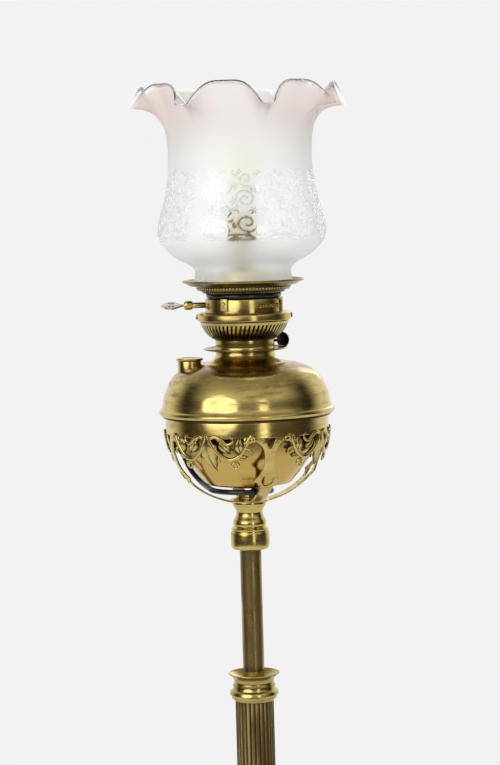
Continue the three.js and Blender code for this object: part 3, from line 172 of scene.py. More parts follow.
def node_chain(node, axis="Z"):
    """The outline of a turned CAD node as ordered (radius, height) points, and whether it closes."""
    shape = bmesh.new()
    shape.from_mesh(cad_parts[node].data)
    bmesh.ops.remove_doubles(shape, verts=shape.verts, dist=0.01 * MM)
    if axis == "Y":
        low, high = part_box(node)
        bmesh.ops.translate(shape, verts=shape.verts, vec=(0, 0, -(low.z + high.z) / 2))
        bmesh.ops.rotate(shape, verts=shape.verts, matrix=Matrix.Rotation(math.radians(90), 3, "X"))
    whole = shape.verts[:] + shape.edges[:] + shape.faces[:]
    bmesh.ops.bisect_plane(shape, geom=whole, dist=0.002 * MM, plane_co=(0, 0, 0), plane_no=(0, 1, 0),
                           clear_inner=True, clear_outer=True)
    edges = [e for e in shape.edges if min(v.co.x for v in e.verts) > -0.01 * MM]
    ends = {}
    for e in edges:
        for v in e.verts:
            ends.setdefault(v, []).append(e.other_vert(v))
    start = next((v for v, near in ends.items() if len(near) == 1), None)
    closed = start is None
    here = start or next(iter(ends))
    chain, before = [here], None
    while True:
        after = next((v for v in ends[here] if v is not before and v is not chain[0]), None)
        if after is None or after in chain:
            break
        chain.append(after)
        before, here = here, after
    points = [(max(v.co.x, 0.0), v.co.z) for v in chain]
    shape.free()
    return points, closed


CORNER = 38  # degrees


def flowing(points, closed, corner=CORNER, steps=5, edge=0.25 * MM):
    """Rounds a chain's gentle bends into curves and gives its true corners a small edge."""
    line = [Vector(p) for p in points]
    count = len(line)
    thinned = []
    for i, p in enumerate(line):
        if not closed and i in (0, count - 1):
            thinned.append(p)
            continue
        a, b = line[i - 1], line[(i + 1) % count]
        if (p - a).length > 1e-6 and (p - a).angle(b - p, 0) > math.radians(0.4):
            thinned.append(p)
    line = thinned
    count = len(line)

    def turn(i):
        if not closed and i in (0, count - 1):
            return math.pi
        a, b = line[i] - line[i - 1], line[(i + 1) % count] - line[i]
        return a.angle(b, math.pi)

    sharp = [turn(i) > math.radians(corner) for i in range(count)]
    out = []
    for i in range(count if closed else count - 1):
        p, q = line[i], line[(i + 1) % count]
        reach = (q - p).length
        before = p - (q - p) if sharp[i] else line[i - 1]
        after = q + (q - p) if sharp[(i + 1) % count] else line[(i + 2) % count]
        start = (q - before).normalized() * reach if not sharp[i] else None
        end = (after - p).normalized() * reach if not sharp[(i + 1) % count] else None
        if start is None and end is None:
            start = end = q - p
        elif start is None:
            start = 2 * (q - p) - end
        elif end is None:
            end = 2 * (q - p) - start
        straight = (start - (q - p)).length < 0.02 * reach and (end - (q - p)).length < 0.02 * reach
        parts = 1 if straight else steps
        cuts = [k / parts for k in range(parts + 1)]
        trim = min(edge / reach, 0.3)
        if sharp[i] and (closed or i):
            cuts = [trim] + [c for c in cuts if c > 1.5 * trim]
        if sharp[(i + 1) % count] and (closed or i < count - 2):
            cuts = [c for c in cuts if c < 1 - 1.5 * trim] + [1 - trim]
        else:
            cuts = cuts[:-1]
        for t in cuts:
            a, b = 2 * t ** 3 - 3 * t * t + 1, t ** 3 - 2 * t * t + t
            c, d = -2 * t ** 3 + 3 * t * t, t ** 3 - t * t
            out.append(a * p + b * start + c * q + d * end)
    if not closed:
        out.append(line[-1])
    return [(max(p.x, 0.0), p.y) for p in out]


def spun(line, closed, steps):
    """A bmesh turned about Z from (radius, height) points."""
    shape = bmesh.new()
    verts = [shape.verts.new((r, 0, z)) for r, z in line]
    edges = [shape.edges.new(pair) for pair in zip(verts, verts[1:])]
    if closed:
        edges.append(shape.edges.new((verts[-1], verts[0])))
    bmesh.ops.spin(shape, geom=verts + edges, cent=(0, 0, 0), axis=(0, 0, 1), dvec=(0, 0, 0),
                   angle=math.tau, steps=steps, use_merge=True, use_normal_flip=False, use_duplicate=False)
    bmesh.ops.remove_doubles(shape, verts=shape.verts, dist=0.003 * MM)
    bmesh.ops.dissolve_degenerate(shape, dist=0.001 * MM, edges=shape.edges)
    bmesh.ops.recalc_face_normals(shape, faces=shape.faces)
    return shape


def settle(shape, name, body, finish, nodes=(), smooth=32):
    """Puts a bmesh into the scene as a piece that rides on its body."""
    mesh = bpy.data.meshes.new(name)
    shape.to_mesh(mesh)
    shape.free()
    for face in mesh.polygons:
        face.use_smooth = True
    mesh.set_sharp_from_angle(angle=math.radians(smooth))
    piece = linked(name, mesh)
    mesh.materials.append(finish)
    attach(piece, body)
    if nodes:
        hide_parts(*nodes)
    return piece


def absorb(shape, other):
    """Moves another bmesh's geometry into a bmesh."""
    mesh = bpy.data.meshes.new("joined")
    other.to_mesh(mesh)
    other.free()
    shape.from_mesh(mesh)
    bpy.data.meshes.remove(mesh)


def bake_modifiers(piece):
    """Applies a piece's modifiers to its mesh."""
    baked = evaluated_mesh(piece)
    old = piece.data
    piece.modifiers.clear()
    piece.data = baked
    bpy.data.meshes.remove(old)
    for face in baked.polygons:
        face.use_smooth = True


def placed_block(shape, size, centre, turn=0.0):
    """Adds a box to a bmesh, turned about Z through the origin after it is placed."""
    made = bmesh.ops.create_cube(shape, size=1.0)["verts"]
    bmesh.ops.scale(shape, verts=made, vec=size)
    bmesh.ops.translate(shape, verts=made, vec=centre)
    bmesh.ops.rotate(shape, verts=made, cent=(0, 0, 0), matrix=Matrix.Rotation(turn, 3, "Z"))


def placed_rod(shape, radius, length, centre, direction, segments, taper):
    """Adds a round rod to a bmesh, centred at a point, laid along a direction and tapered to a share."""
    turn = Vector((0, 0, 1)).rotation_difference(Vector(direction)).to_matrix().to_4x4()
    bmesh.ops.create_cone(shape, cap_ends=True, segments=segments, radius1=radius, radius2=radius * taper,
                          depth=length, matrix=Matrix.Translation(centre) @ turn)


def placed_ball(shape, radius, centre, detail, squash=(1, 1, 1)):
    """Adds a ball to a bmesh, with detail as the number of its sides."""
    made = bmesh.ops.create_uvsphere(shape, u_segments=detail, v_segments=detail // 2 + 2,
                                     radius=radius)["verts"]
    bmesh.ops.scale(shape, verts=made, vec=squash)
    bmesh.ops.translate(shape, verts=made, vec=centre)


def hollowed(shape, share):
    """Marks each point's share of painted shade, from 0 to 1, for the finish to darken it."""
    layer = shape.verts.layers.float.new("hollow")
    for v in shape.verts:
        v[layer] = share(v.co)


def edged(shape, width, angle=35, segments=2):
    """Bevels the true edges of a bmesh."""
    bmesh.ops.recalc_face_normals(shape, faces=shape.faces)
    edges = [e for e in shape.edges
             if len(e.link_faces) == 2 and e.calc_face_angle(0) > math.radians(angle)]
    bmesh.ops.bevel(shape, geom=edges, offset=width, offset_type="OFFSET", segments=segments, profile=0.5,
                    affect="EDGES", clamp_overlap=True, material=-1)
    return shape


def node_copy(node):
    """A merged copy of a CAD node's mesh, to be refined."""
    shape = bmesh.new()
    shape.from_mesh(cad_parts[node].data)
    bmesh.ops.remove_doubles(shape, verts=shape.verts, dist=0.01 * MM)
    bmesh.ops.dissolve_limit(shape, angle_limit=math.radians(1), verts=shape.verts, edges=shape.edges)
    bmesh.ops.recalc_face_normals(shape, faces=shape.faces)
    return shape


def around(radius, azimuth, z):
    """A point at a radius and azimuth, in degrees from the front (-Y) towards the right (+X)."""
    turn = math.radians(azimuth)
    return Vector((radius * math.sin(turn), -radius * math.cos(turn), z))


def smooth_route(points, spacing):
    """Even steps along a centripetal curve through points."""
    points = [Vector(p) for p in points]
    ends = [2 * points[0] - points[1], *points, 2 * points[-1] - points[-2]]
    dense = []
    for a, b, c, d in zip(ends, ends[1:], ends[2:], ends[3:]):
        knots = [0.0]
        for p, q in ((a, b), (b, c), (c, d)):
            knots.append(knots[-1] + max((q - p).length, 1e-9) ** 0.5)
        t0, t1, t2, t3 = knots
        for i in range(24):
            t = t1 + (t2 - t1) * i / 24
            a1 = a.lerp(b, (t - t0) / (t1 - t0))
            a2 = b.lerp(c, (t - t1) / (t2 - t1))
            a3 = c.lerp(d, (t - t2) / (t3 - t2))
            b1 = a1.lerp(a2, (t - t0) / (t2 - t0))
            b2 = a2.lerp(a3, (t - t1) / (t3 - t1))
            dense.append(b1.lerp(b2, (t - t1) / (t2 - t1)))
    dense.append(points[-1])
    total = path_length(dense)
    count = max(2, round(total / spacing))
    out, gone, target = [dense[0]], 0.0, total / count
    for p, q in zip(dense, dense[1:]):
        step = (q - p).length
        while gone + step >= target * len(out) - 1e-9 and len(out) < count:
            out.append(p.lerp(q, (target * len(out) - gone) / step))
        gone += step
    out.append(dense[-1])
    return out


def round_curve(name, radius, resolution):
    """An empty curve whose splines become round tubes with closed ends."""
    curve = bpy.data.curves.new(name, "CURVE")
    curve.dimensions = "3D"
    curve.bevel_depth = radius
    curve.bevel_resolution = resolution
    curve.use_fill_caps = True
    return curve


def add_spline(curve, points):
    """Adds a line through points to a curve."""
    spline = curve.splines.new("POLY")
    spline.points.add(len(points) - 1)
    for place, p in zip(spline.points, points):
        place.co = (*p, 1)
    spline.use_smooth = True
    return spline


def tube_curve(name, points, radius, finish, resolution=4):
    """A round tube along points, as a curve of one spline."""
    curve = round_curve(name, radius, resolution)
    add_spline(curve, points)
    curve.materials.append(finish)
    return linked(name, curve)


def tube_mesh(name, points, radius, finish):
    """A round tube along points, as a mesh."""
    curve = tube_curve(name + "_line", points, radius, finish)
    mesh = evaluated_mesh(curve)
    bpy.data.objects.remove(curve)
    mesh.name = name
    for face in mesh.polygons:
        face.use_smooth = True
    return linked(name, mesh)


# Finishes, with the heights above the floor between which some of them change, in metres

# Heights of the dark reflection painted round the foot of the dome's neck
NECK_BROWN = (1.206, 1.219)
# Heights between which painted shade darkens the bowl behind the cradle's frieze
BOWL_TARNISH = (1.128, 1.156)
WORN_END = 0.9095
# Heights over which the painted glow on the shade's lower body fades out
SHADE_GLOW = (1.38, 1.46)


class Nodes:
    """A node tree being made: node() adds a node, and put() sets or links a socket."""

    def __init__(self, tree):
        self.tree = tree

    def put(self, node, socket, value):
        if isinstance(value, bpy.types.NodeSocket):
            self.tree.links.new(value, node.inputs[socket])
        else:
            node.inputs[socket].default_value = value

    def node(self, kind, sockets=(), **settings):
        made = self.tree.nodes.new("ShaderNode" + kind)
        for key, value in settings.items():
            setattr(made, key, value)
        for socket, value in dict(sockets).items():
            self.put(made, socket, value)
        return made

    def place(self, scale=(1, 1, 1)):
        coords = self.node("TexCoord").outputs["Object"]
        return self.node("Mapping", {"Vector": coords, "Scale": scale}).outputs["Vector"]

    def height(self):
        return self.node("SeparateXYZ", {0: self.place()}).outputs["Z"]

    def mark(self, name):
        """The value that the piece carries for each point under a name."""
        return self.node("Attribute", attribute_name=name).outputs["Fac"]

    def noise(self, scale, vector=None, detail=3.0, rough=0.55, distortion=0.0):
        return self.node("TexNoise", {"Vector": vector or self.place(), "Scale": scale, "Detail": detail,
                                      "Roughness": rough, "Distortion": distortion}).outputs["Fac"]

    def spread(self, value, low, high, out_low, out_high, smooth=True):
        """Maps a value from one range to another, and holds it at the ends."""
        return self.node("MapRange", {"Value": value, "From Min": low, "From Max": high, "To Min": out_low,
                                      "To Max": out_high},
                         interpolation_type="SMOOTHSTEP" if smooth else "LINEAR").outputs["Result"]

    def sum(self, operation, a, b=0.0):
        return self.node("Math", {0: a, 1: b}, operation=operation).outputs[0]

    def tint(self, fac, a, b):
        """Mixes two colours."""
        return self.node("Mix", {0: fac, 6: a, 7: b}, data_type="RGBA").outputs[2]

    def bump(self, height, strength, depth, under=None):
        made = self.node("Bump", {"Height": height, "Strength": strength, "Distance": depth})
        if under:
            self.put(made, "Normal", under)
        return made.outputs["Normal"]


class Finish(Nodes):
    """A procedural material, and give() sets or links its surface's sockets."""

    def __init__(self, name, metal=0.0):
        self.material = bpy.data.materials.new(name)
        self.material.use_nodes = True
        super().__init__(self.material.node_tree)
        self.surface = self.tree.nodes["Principled BSDF"]
        self.give(Metallic=metal)

    def give(self, **sockets):
        for key, value in sockets.items():
            self.put(self.surface, key.replace("_", " "), value)
        return self.material


def paint(colour):
    """A colour as a node's socket takes it."""
    return (*colour, 1.0)


def uneven(f, height, cloud):
    """A height that a cloudy noise moves up and down by up to 15 mm."""
    return f.sum("ADD", height, f.sum("MULTIPLY", f.sum("SUBTRACT", cloud, 0.5), 0.03))


def brass_finish(name, tone, stain_tone, rough=0.17, stain=0.35, streak=0.5, rings=0.4, scale=1.0,
                 hollow=False, neck=None):
    """Polished brass: turning lines round it, cloudy stains, small dark spots and uneven gloss.

    Painted shade darkens the points that the piece's attribute marks; neck paints a dark reflection between
    two heights.
    """
    f = Finish(name, metal=1.0)
    cloud = f.noise(26 * scale, detail=5, rough=0.6, distortion=0.4)
    drift = f.noise(1.0, f.place((34, 34, 210)), detail=4, rough=0.65)
    line = f.noise(1.0, f.place((9, 9, 1500)), detail=2, rough=0.5)
    spots = f.noise(420, detail=2, rough=0.5)
    stained = f.sum("ADD", f.spread(cloud, 0.46, 0.74, 0, stain), f.spread(drift, 0.46, 0.74, 0, streak * 0.8))
    stained = f.sum("ADD", stained, f.spread(spots, 0.7, 0.8, 0, stain * 0.9))
    colour = f.tint(f.sum("MINIMUM", stained, 0.92), paint(tone), paint(stain_tone))
    if hollow:
        # painted shade: the colour turns near black where the piece's attribute marks it
        colour = f.tint(f.sum("MULTIPLY", f.mark("hollow"), 0.93), colour, (0.030, 0.024, 0.012, 1))
    if neck:
        # painted reflection: the burner and saucer seen darkly in the dome, browning it between two heights
        height, (low, top) = f.height(), neck
        browned = f.sum("MINIMUM", f.spread(uneven(f, height, cloud), low, top, 0, 0.7),
                        f.spread(height, top, top + 0.005, 0.7, 0))
        colour = f.tint(browned, colour, (0.24, 0.14, 0.06, 1))
    gloss = f.sum("ADD", f.spread(cloud, 0.3, 0.75, rough * 0.75, rough * 1.3),
                  f.spread(drift, 0.4, 0.8, 0, 0.10 + 0.1 * streak))
    gloss = f.sum("ADD", gloss, f.spread(line, 0.45, 0.7, 0, 0.06 * rings))
    relief = f.bump(line, 0.22 * rings, 0.00012)
    relief = f.bump(drift, 0.16 * streak, 0.0005, relief)
    relief = f.bump(spots, 0.05, 0.0002, relief)
    return f.give(Base_Color=colour, Roughness=gloss, Normal=relief)


def bowl_finish(name, tone, stain_tone):
    """The bowl's brass: polished where it can be reached, and darkened by painted shade behind the cradle's
    frieze.
    """
    f = Finish(name, metal=1.0)
    drift = f.noise(1.0, f.place((30, 30, 260)), detail=5, rough=0.65)
    cloud = f.noise(38, detail=5, rough=0.6, distortion=0.5)
    tarnish = f.spread(uneven(f, f.height(), cloud), *BOWL_TARNISH, 0, 0.88)
    ruddy = tuple(c * k for c, k in zip(tone, (0.97, 0.86, 0.68)))
    colour = f.tint(f.spread(drift, 0.5, 0.78, 0, 0.6), paint(ruddy), paint(stain_tone))
    # painted shade: near black behind the cradle's frieze
    colour = f.tint(tarnish, colour, (0.055, 0.04, 0.018, 1))
    gloss = f.sum("ADD", f.spread(cloud, 0.3, 0.7, 0.12, 0.2), f.sum("MULTIPLY", tarnish, 0.25))
    return f.give(Base_Color=colour, Roughness=gloss, Normal=f.bump(drift, 0.12, 0.0004))


def aged_finish(name, tone, stain_tone, rough=0.24, grain=1.0, worn=None):
    """Brass under a brown patina, rubbed through in rings and drips, and bright below the height worn."""
    f = Finish(name, metal=1.0)
    patch = f.noise(1.0, f.place((46, 46, 15)), detail=6, rough=0.62, distortion=0.7)
    ring = f.noise(1.0, f.place((5, 5, 520)), detail=3, rough=0.6)
    fleck = f.noise(300, detail=3, rough=0.6)
    rubbed = f.sum("ADD", f.spread(patch, 0.4, 0.68, 0, 0.8), f.spread(ring, 0.56, 0.75, 0, 0.3))
    rubbed = f.sum("ADD", rubbed, f.spread(fleck, 0.6, 0.75, 0, 0.3))
    colour = f.tint(f.sum("MINIMUM", rubbed, 1.0), paint(tone), paint(stain_tone))
    if worn:
        colour = f.tint(f.spread(f.height(), worn, worn + 0.001, 1, 0), colour, (0.72, 0.52, 0.2, 1))
    gloss = f.sum("ADD", f.spread(patch, 0.35, 0.7, rough * 0.7, rough * 1.5),
                  f.spread(ring, 0.5, 0.7, 0, 0.08))
    relief = f.bump(fleck, 0.06 * grain, 0.0003, f.bump(ring, 0.18 * grain, 0.00015))
    return f.give(Base_Color=colour, Roughness=gloss, Normal=relief)


def plain_metal_finish(name, tone, stain_tone, rough=0.24):
    """Bright metal with faint stains and a fine grain."""
    f = Finish(name, metal=1.0)
    cloud = f.noise(90, detail=4, rough=0.6)
    grain = f.noise(1.0, f.place((900, 900, 260)), detail=2)
    return f.give(Base_Color=f.tint(f.spread(cloud, 0.42, 0.72, 0, 0.6), paint(tone), paint(stain_tone)),
                  Roughness=f.spread(cloud, 0.3, 0.7, rough * 0.8, rough * 1.5),
                  Normal=f.bump(grain, 0.08, 0.0001))


def iron_finish(name):
    """Rough cast iron with patches of rust."""
    f = Finish(name, metal=0.6)
    cast = f.noise(600, detail=4, rough=0.7)
    rust = f.noise(40, detail=5, rough=0.6)
    return f.give(Base_Color=f.tint(f.spread(rust, 0.5, 0.75, 0, 0.8), paint((0.05, 0.048, 0.045)),
                                    paint((0.13, 0.06, 0.03))),
                  Roughness=f.spread(cast, 0.3, 0.7, 0.55, 0.85), Normal=f.bump(cast, 0.5, 0.0004))


def moulded_finish(name, tone, worn_tone, rough=0.3, grain=0.1):
    """Moulding or flex sheath: even colour with faint handling marks and a fine grain."""
    f = Finish(name)
    smudge = f.noise(60, detail=4, rough=0.6)
    fine = f.noise(2600, detail=2)
    return f.give(Base_Color=f.tint(f.spread(smudge, 0.45, 0.75, 0, 1), paint(tone), paint(worn_tone)),
                  Specular_IOR_Level=0.55,
                  Roughness=f.spread(smudge, 0.35, 0.7, rough * 0.75, rough * 1.4),
                  Normal=f.bump(fine, grain, 0.00005))


def bulb_finish(name, tone):
    """Pearl glass: a warm white bloom over clear glass."""
    f = Finish(name)
    bloom = f.noise(140, detail=3)
    return f.give(IOR=1.45, Transmission_Weight=0.25, Emission_Color=paint(tone), Emission_Strength=0.09,
                  Base_Color=f.tint(f.spread(bloom, 0.4, 0.7, 0, 0.5), paint(tone), paint((0.98, 0.97, 0.93))),
                  Roughness=f.spread(bloom, 0.3, 0.7, 0.22, 0.34))


def shade_finish(name, frost_tone, blush_tone, sheer):
    """Frosted glass, sheer as far as that share, with clear places and blush marked on the piece, and a
    painted glow low down.
    """
    f = Finish(name)
    clear = f.mark("clear")
    grain = f.noise(900, detail=3, rough=0.6)
    cloud = f.noise(30, detail=4, rough=0.6)
    frosted = f.tint(f.mark("blush"), paint(frost_tone), paint(blush_tone))
    frosted = f.tint(f.spread(cloud, 0.4, 0.7, 0, 0.25), frosted, paint((0.93, 0.93, 0.92)))
    matte = f.sum("SUBTRACT", 1.0, clear)
    relief = f.bump(grain, f.sum("MULTIPLY", matte, 0.25), 0.0001)
    rough = f.sum("MULTIPLY", matte, f.spread(grain, 0.3, 0.7, 0.42, 0.56))
    return f.give(Base_Color=f.tint(clear, frosted, paint((0.97, 0.98, 0.97))), IOR=1.45,
                  Roughness=f.sum("ADD", rough, 0.03), Normal=f.bump(matte, 0.35, 0.0003, relief),
                  Transmission_Weight=f.spread(matte, 0, 1, 1.0, sheer, smooth=False),
                  # painted glow: the frosted parts of the lower body give off a little light of their own
                  Emission_Color=(1.0, 1.0, 0.98, 1.0),
                  Emission_Strength=f.sum("MULTIPLY", matte, f.spread(f.height(), *SHADE_GLOW, 0.06, 0)))


finishes = {}


def make_finishes(looks):
    """Makes every material from the colours that the user can change."""
    tone, tarnish, patina = tuple(looks.brass_tone), tuple(looks.stain_tone), tuple(looks.patina_tone)

    def brass(name, share=1.0, **how):
        return brass_finish(name, tuple(min(1, share * c) for c in tone), tarnish, **how)

    burner = dict(rough=0.2, stain=0.6, streak=0.25, rings=0.5, scale=1.6)
    dull = dict(rough=0.24, stain=0.8, streak=0.4, rings=0.8, scale=1.3)
    cast = dict(streak=0.0, rings=0.0)
    finishes.update(
        brass=brass("polished_brass"),
        bowl_brass=bowl_finish("bowl_brass", tone, tarnish),
        dome_brass=brass("dome_brass", rough=0.14, stain=0.5, streak=1.0, rings=0.6, neck=NECK_BROWN),
        cast_brass=brass("cast_brass", rough=0.2, stain=0.45, scale=2.0, **cast),
        # painted shade, with tarnish, in the recesses that the frieze and the skirt mark
        frieze_brass=brass("frieze_brass", rough=0.18, stain=0.3, scale=2.0, hollow=True, **cast),
        catch_brass=brass("catch_brass", 1.35, rough=0.42, stain=0.2, scale=2.5, **cast),
        burner_brass=brass("burner_brass", 0.86, **burner),
        # painted shade towards the foot of the basket, where its attribute marks it
        basket_brass=brass("basket_brass", 0.86, hollow=True, **burner),
        clamp_brass=brass("clamp_brass", 0.72, stain=0.5),
        ferrule_brass=brass("ferrule_brass", 0.82, stain=0.5),
        ring_brass=brass("ring_brass", 0.6, **dull),
        # painted shade on the underside of the gallery ring's flare, where its attribute marks it
        gallery_brass=brass("gallery_brass", 0.6, hollow=True, **dull),
        # darker copy of the brass: painted dark reflection for the lampholder inside the shade
        holder_brass=brass("holder_brass", 0.42, rough=0.16, stain=0.5, streak=0.3, rings=0.3, scale=1.5),
        tube_brass=aged_finish("tube_brass", patina, (0.13, 0.088, 0.032), rough=0.3, grain=0.2,
                               worn=WORN_END),
        column_brass=aged_finish("column_brass", tuple(0.5 * c for c in patina), (0.12, 0.085, 0.033),
                                 rough=0.42, grain=0.3),
        dark_brass=aged_finish("dark_brass", (0.05, 0.04, 0.03), (0.012, 0.011, 0.010), rough=0.3),
        # sooty brass of the burner core, and the painted shade of the dark lining behind the basket's slots
        soot=aged_finish("sooty_brass", (0.07, 0.055, 0.03), (0.015, 0.013, 0.01), rough=0.4),
        steel=plain_metal_finish("bright_metal", (0.66, 0.63, 0.57), (0.38, 0.35, 0.3)),
        iron=iron_finish("cast_iron"),
        flex=moulded_finish("flex_sheath", (0.006, 0.006, 0.006), (0.014, 0.013, 0.012), rough=0.2,
                            grain=0.08),
        black=moulded_finish("black_moulding", (0.010, 0.010, 0.010), (0.02, 0.02, 0.02), rough=0.3),
        white=moulded_finish("white_moulding", (0.80, 0.79, 0.75), (0.70, 0.67, 0.60), rough=0.28),
        bulb=bulb_finish("pearl_glass", (0.96, 0.94, 0.80)),
        shade=shade_finish("frosted_glass", tuple(looks.frost_tone), tuple(looks.blush_tone), sheer=0.7),
    )


# Cords: the lamp flex on the lamp, and the free lead with its coil and plug

# Places on the lamp are radius, azimuth in degrees, and millimetres above TURN_LEVEL or SEAT_LEVEL. The others
# are x, y and z in millimetres.
FLEX_RADIUS = 2.75
TURN_LEVEL = 1290.85
SEAT_LEVEL = 1170.1
TURN_PLACES = [
    (0, 180, 42), (0, 180, 30), (0, 180, 19), (0.9, 180, 10.5), (4.5, 180, 4), (11, 180, 0.7), (19, 180, 0),
    (27, 181, 0), (32.6, 186, 0), (35, 197, 0), (35.3, 225, 0), (35.3, 255, 0), (35.3, 285, 0), (35.3, 315, 0),
    (35.3, 345, 0), (35.3, 375, 0), (35.3, 405, 0), (35.3, 435, 0), (35.3, 465, 0), (35.4, 495, 0),
    (37, 514, 0), (41, 524, -0.3), (45.5, 531, -3), (49.3, 536, -8.5), (50.6, 538, -15.5)]
DROP_PLACES = [
    (50.6, 539, 98), (50.2, 540, 88), (49.4, 541, 78), (49, 542, 70), (50.6, 544, 62), (55.6, 547, 56.6),
    (62, 551, 53), (69, 555, 48), (75, 559, 41.5), (79.4, 563, 33.5), (82.6, 567, 25.5), (86, 571, 16),
    (90.3, 575, 7.5), (91.4, 578, 0), (90.4, 581, -8), (88, 584, -16), (85.2, 588, -24.5), (82, 592, -34),
    (77.8, 596, -43.5), (71.5, 600, -52), (64, 603, -59.6)]
CRADLE_PLACES = [
    (56, 608, -65), (49, 615, -68.8), (43.5, 626, -71), (40, 640, -72.6), (38.5, 655, -73.6),
    (38.5, 680, -73.6), (38.5, 708, -73.6), (38.5, 736, -73.6), (37, 750, -73.7), (32.5, 763, -74),
    (26, 776, -74.2), (18.5, 790, -74.2), (11.5, 806, -74.3), (7, 806, -75), (3.4, 806, -77), (1, 806, -80.3),
    (0, 806, -85), (0, 806, -94)]
COLUMN_PLACES = [
    (0, 0, 262), (0, 0, 210), (0, 0, 160), (0, 0, 118), (0, 0.3, 96), (0, 2.5, 84), (0, 9, 73.5),
    (0, 20, 65.5), (0, 36, 60.5), (0, 56, 57.5), (0, 78, 54), (0, 100, 49.5), (0, 124, 45.6), (0, 140, 45),
    (0, 149.7, 45)]
STEM_LEVELS = (1075.8, 900, 700, 500, 380)
EXIT_REACH, EXIT_LEVEL = 150.3, 45
LEAD_PLACES = [
    (0, EXIT_REACH, EXIT_LEVEL), (0, 163, 45), (0, 174, 45), (0, 184, 44.8), (0, 191, 43.9), (0, 199, 41.6),
    (0, 208, 37.4), (0, 217, 32.4), (0, 226, 27.4), (0, 234, 23.6), (0, 241, 21.5)]
TAIL_PLACES = [(22, 0, 0), (12, 0, 0), (2, -0.4, 0.1), (-8, -1.2, 0.6), (-17, -1.9, 1.9), (-26, -2.3, 3.5),
               (-33, -2.5, 4.2), (-40.3, -2.5, 4.3)]
COIL_MEAN, COIL_REACH, COIL_PITCH, COIL_LAYERS, LAYER_TURNS = 31, 7.3, 6, 4, 2.4375
COIL_Y, COIL_TOP = 251, 21.05


def coil_place(turns):
    """A point of the coil, which spirals in and out and drops a layer where the spiral turns back."""
    layer = min(int(turns / LAYER_TURNS), COIL_LAYERS - 1)
    into = turns / LAYER_TURNS - layer
    radius = COIL_MEAN + COIL_REACH * (2 * into - 1 if layer % 2 else 1 - 2 * into)
    dropped = sum(min(max(2 * (turns - (i + 1) * LAYER_TURNS) + 0.5, 0), 1)
                  for i in range(COIL_LAYERS - 1))
    angle = math.pi - turns * math.tau
    return Vector((COIL_MEAN + COIL_REACH + radius * math.cos(angle), COIL_Y + radius * math.sin(angle),
                   COIL_TOP - dropped * COIL_PITCH))


def free_lead_points():
    """The free lead's middle line: out of the base, down to the floor, round the coil and to the plug."""
    turns = COIL_LAYERS * LAYER_TURNS
    steps = round(turns * 24)
    coil = [coil_place(turns * i / steps) for i in range(steps + 1)]
    foot = coil[-1]
    tail = [Vector((x, foot.y + y, foot.z + z)) for x, y, z in TAIL_PLACES]
    lead = smooth_route(LEAD_PLACES + [coil[0] + Vector((0, -4, 0)), coil[0]], 5)
    return [Vector(p) * MM for p in lead[:-1] + coil[:-1] + smooth_route([foot, *tail], 5)]


def cord_piece(name, points, body, *nodes):
    """A stretch of flex that moves with one body, in place of its CAD nodes."""
    piece = tube_curve(name, points, FLEX_RADIUS * MM, finishes["flex"], resolution=3)
    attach(piece, body)
    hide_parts(*nodes)
    return piece


class LAMP_OT_free_lead(bpy.types.Operator):
    """Makes the free lead, wound into its coil, with its plug and bush"""
    bl_idname = "lamp.free_lead"
    bl_label = "Free lead"

    def execute(self, context):
        points = free_lead_points()
        lead = cord_piece("free_lead", points, "stand", "flex_lead", "flex_coil", "flex_tail")
        line, closed = node_chain("cord_bush", axis="Y")
        bush = spun(flowing(line, closed), closed, 48)
        bmesh.ops.rotate(bush, verts=bush.verts, matrix=Matrix.Rotation(math.radians(-90), 3, "X"))
        bmesh.ops.translate(bush, verts=bush.verts, vec=(0, 0, EXIT_LEVEL * MM))
        bush = settle(bush, "lead_bush", "stand", finishes["black"], ["cord_bush"])
        body = edged(node_copy("plug"), 0.9 * MM, angle=50, segments=3)
        body = settle(body, "lead_plug", "stand", finishes["black"], ["plug"])
        return {"FINISHED"}


class LAMP_OT_lamp_flex(bpy.types.Operator):
    """Makes the flex from the lampholder round the burner and under the font into the tube"""
    bl_idname = "lamp.lamp_flex"
    bl_label = "Lamp flex"

    def execute(self, context):
        places = [around(r, a, TURN_LEVEL + z) for r, a, z in TURN_PLACES]
        places += [around(r, a, SEAT_LEVEL + z) for r, a, z in DROP_PLACES + CRADLE_PLACES]
        points = [p * MM for p in smooth_route(places, 4)]
        flex = tube_mesh("lamp_flex", points, FLEX_RADIUS * MM, finishes["flex"])
        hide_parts("flex_turn", "flex_drop", "flex_cradle")
        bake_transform(flex)
        cord_piece("tube_flex", [Vector((0, 0, z * MM)) for z in STEM_LEVELS], "head", "flex_stem")
        cord_piece("column_flex", [p * MM for p in smooth_route(COLUMN_PLACES, 5)], "stand", "flex_column")
        return {"FINISHED"}


# Turned pieces that follow their CAD nodes

TURNINGS = {
    "base": ("stand", [
        ("base_shell", "brass", "brass", 128), ("base_knop", "brass", "brass", 96),
        ("column_collar", "brass", "brass", 96), ("column_ferrule", "ferrule_brass", "brass", 96)]),
    "clamp": ("clamp", [("clamp_nut", "clamp_brass", "brass", 96)]),
    "guide": ("guide", [("guide_bush", "brass", "brass", 64)]),
    "stem": ("head", [("inner_tube", "tube_brass", "aged_brass", 96), ("stem_socket", "brass", "brass", 96)]),
    "font": ("font", [
        ("font_bowl", "bowl_brass", "brass", 128), ("font_dome", "dome_brass", "brass", 128),
        ("drip_saucer", "ring_brass", "brass", 128), ("burner_core", "soot", "brass", 64),
        ("burner_cone", "burner_brass", "brass", 64)]),
    "holder": ("font", [
        ("holder_body", "holder_brass", "brass", 64), ("holder_ring", "white", "white_moulding", 64)]),
    "gallery": ("gallery", [("gallery_ring", "gallery_brass", "brass", 128)]),
    "bulb": ("bulb", [("bulb_glass", "bulb", "bulb_glass", 64)]),
}


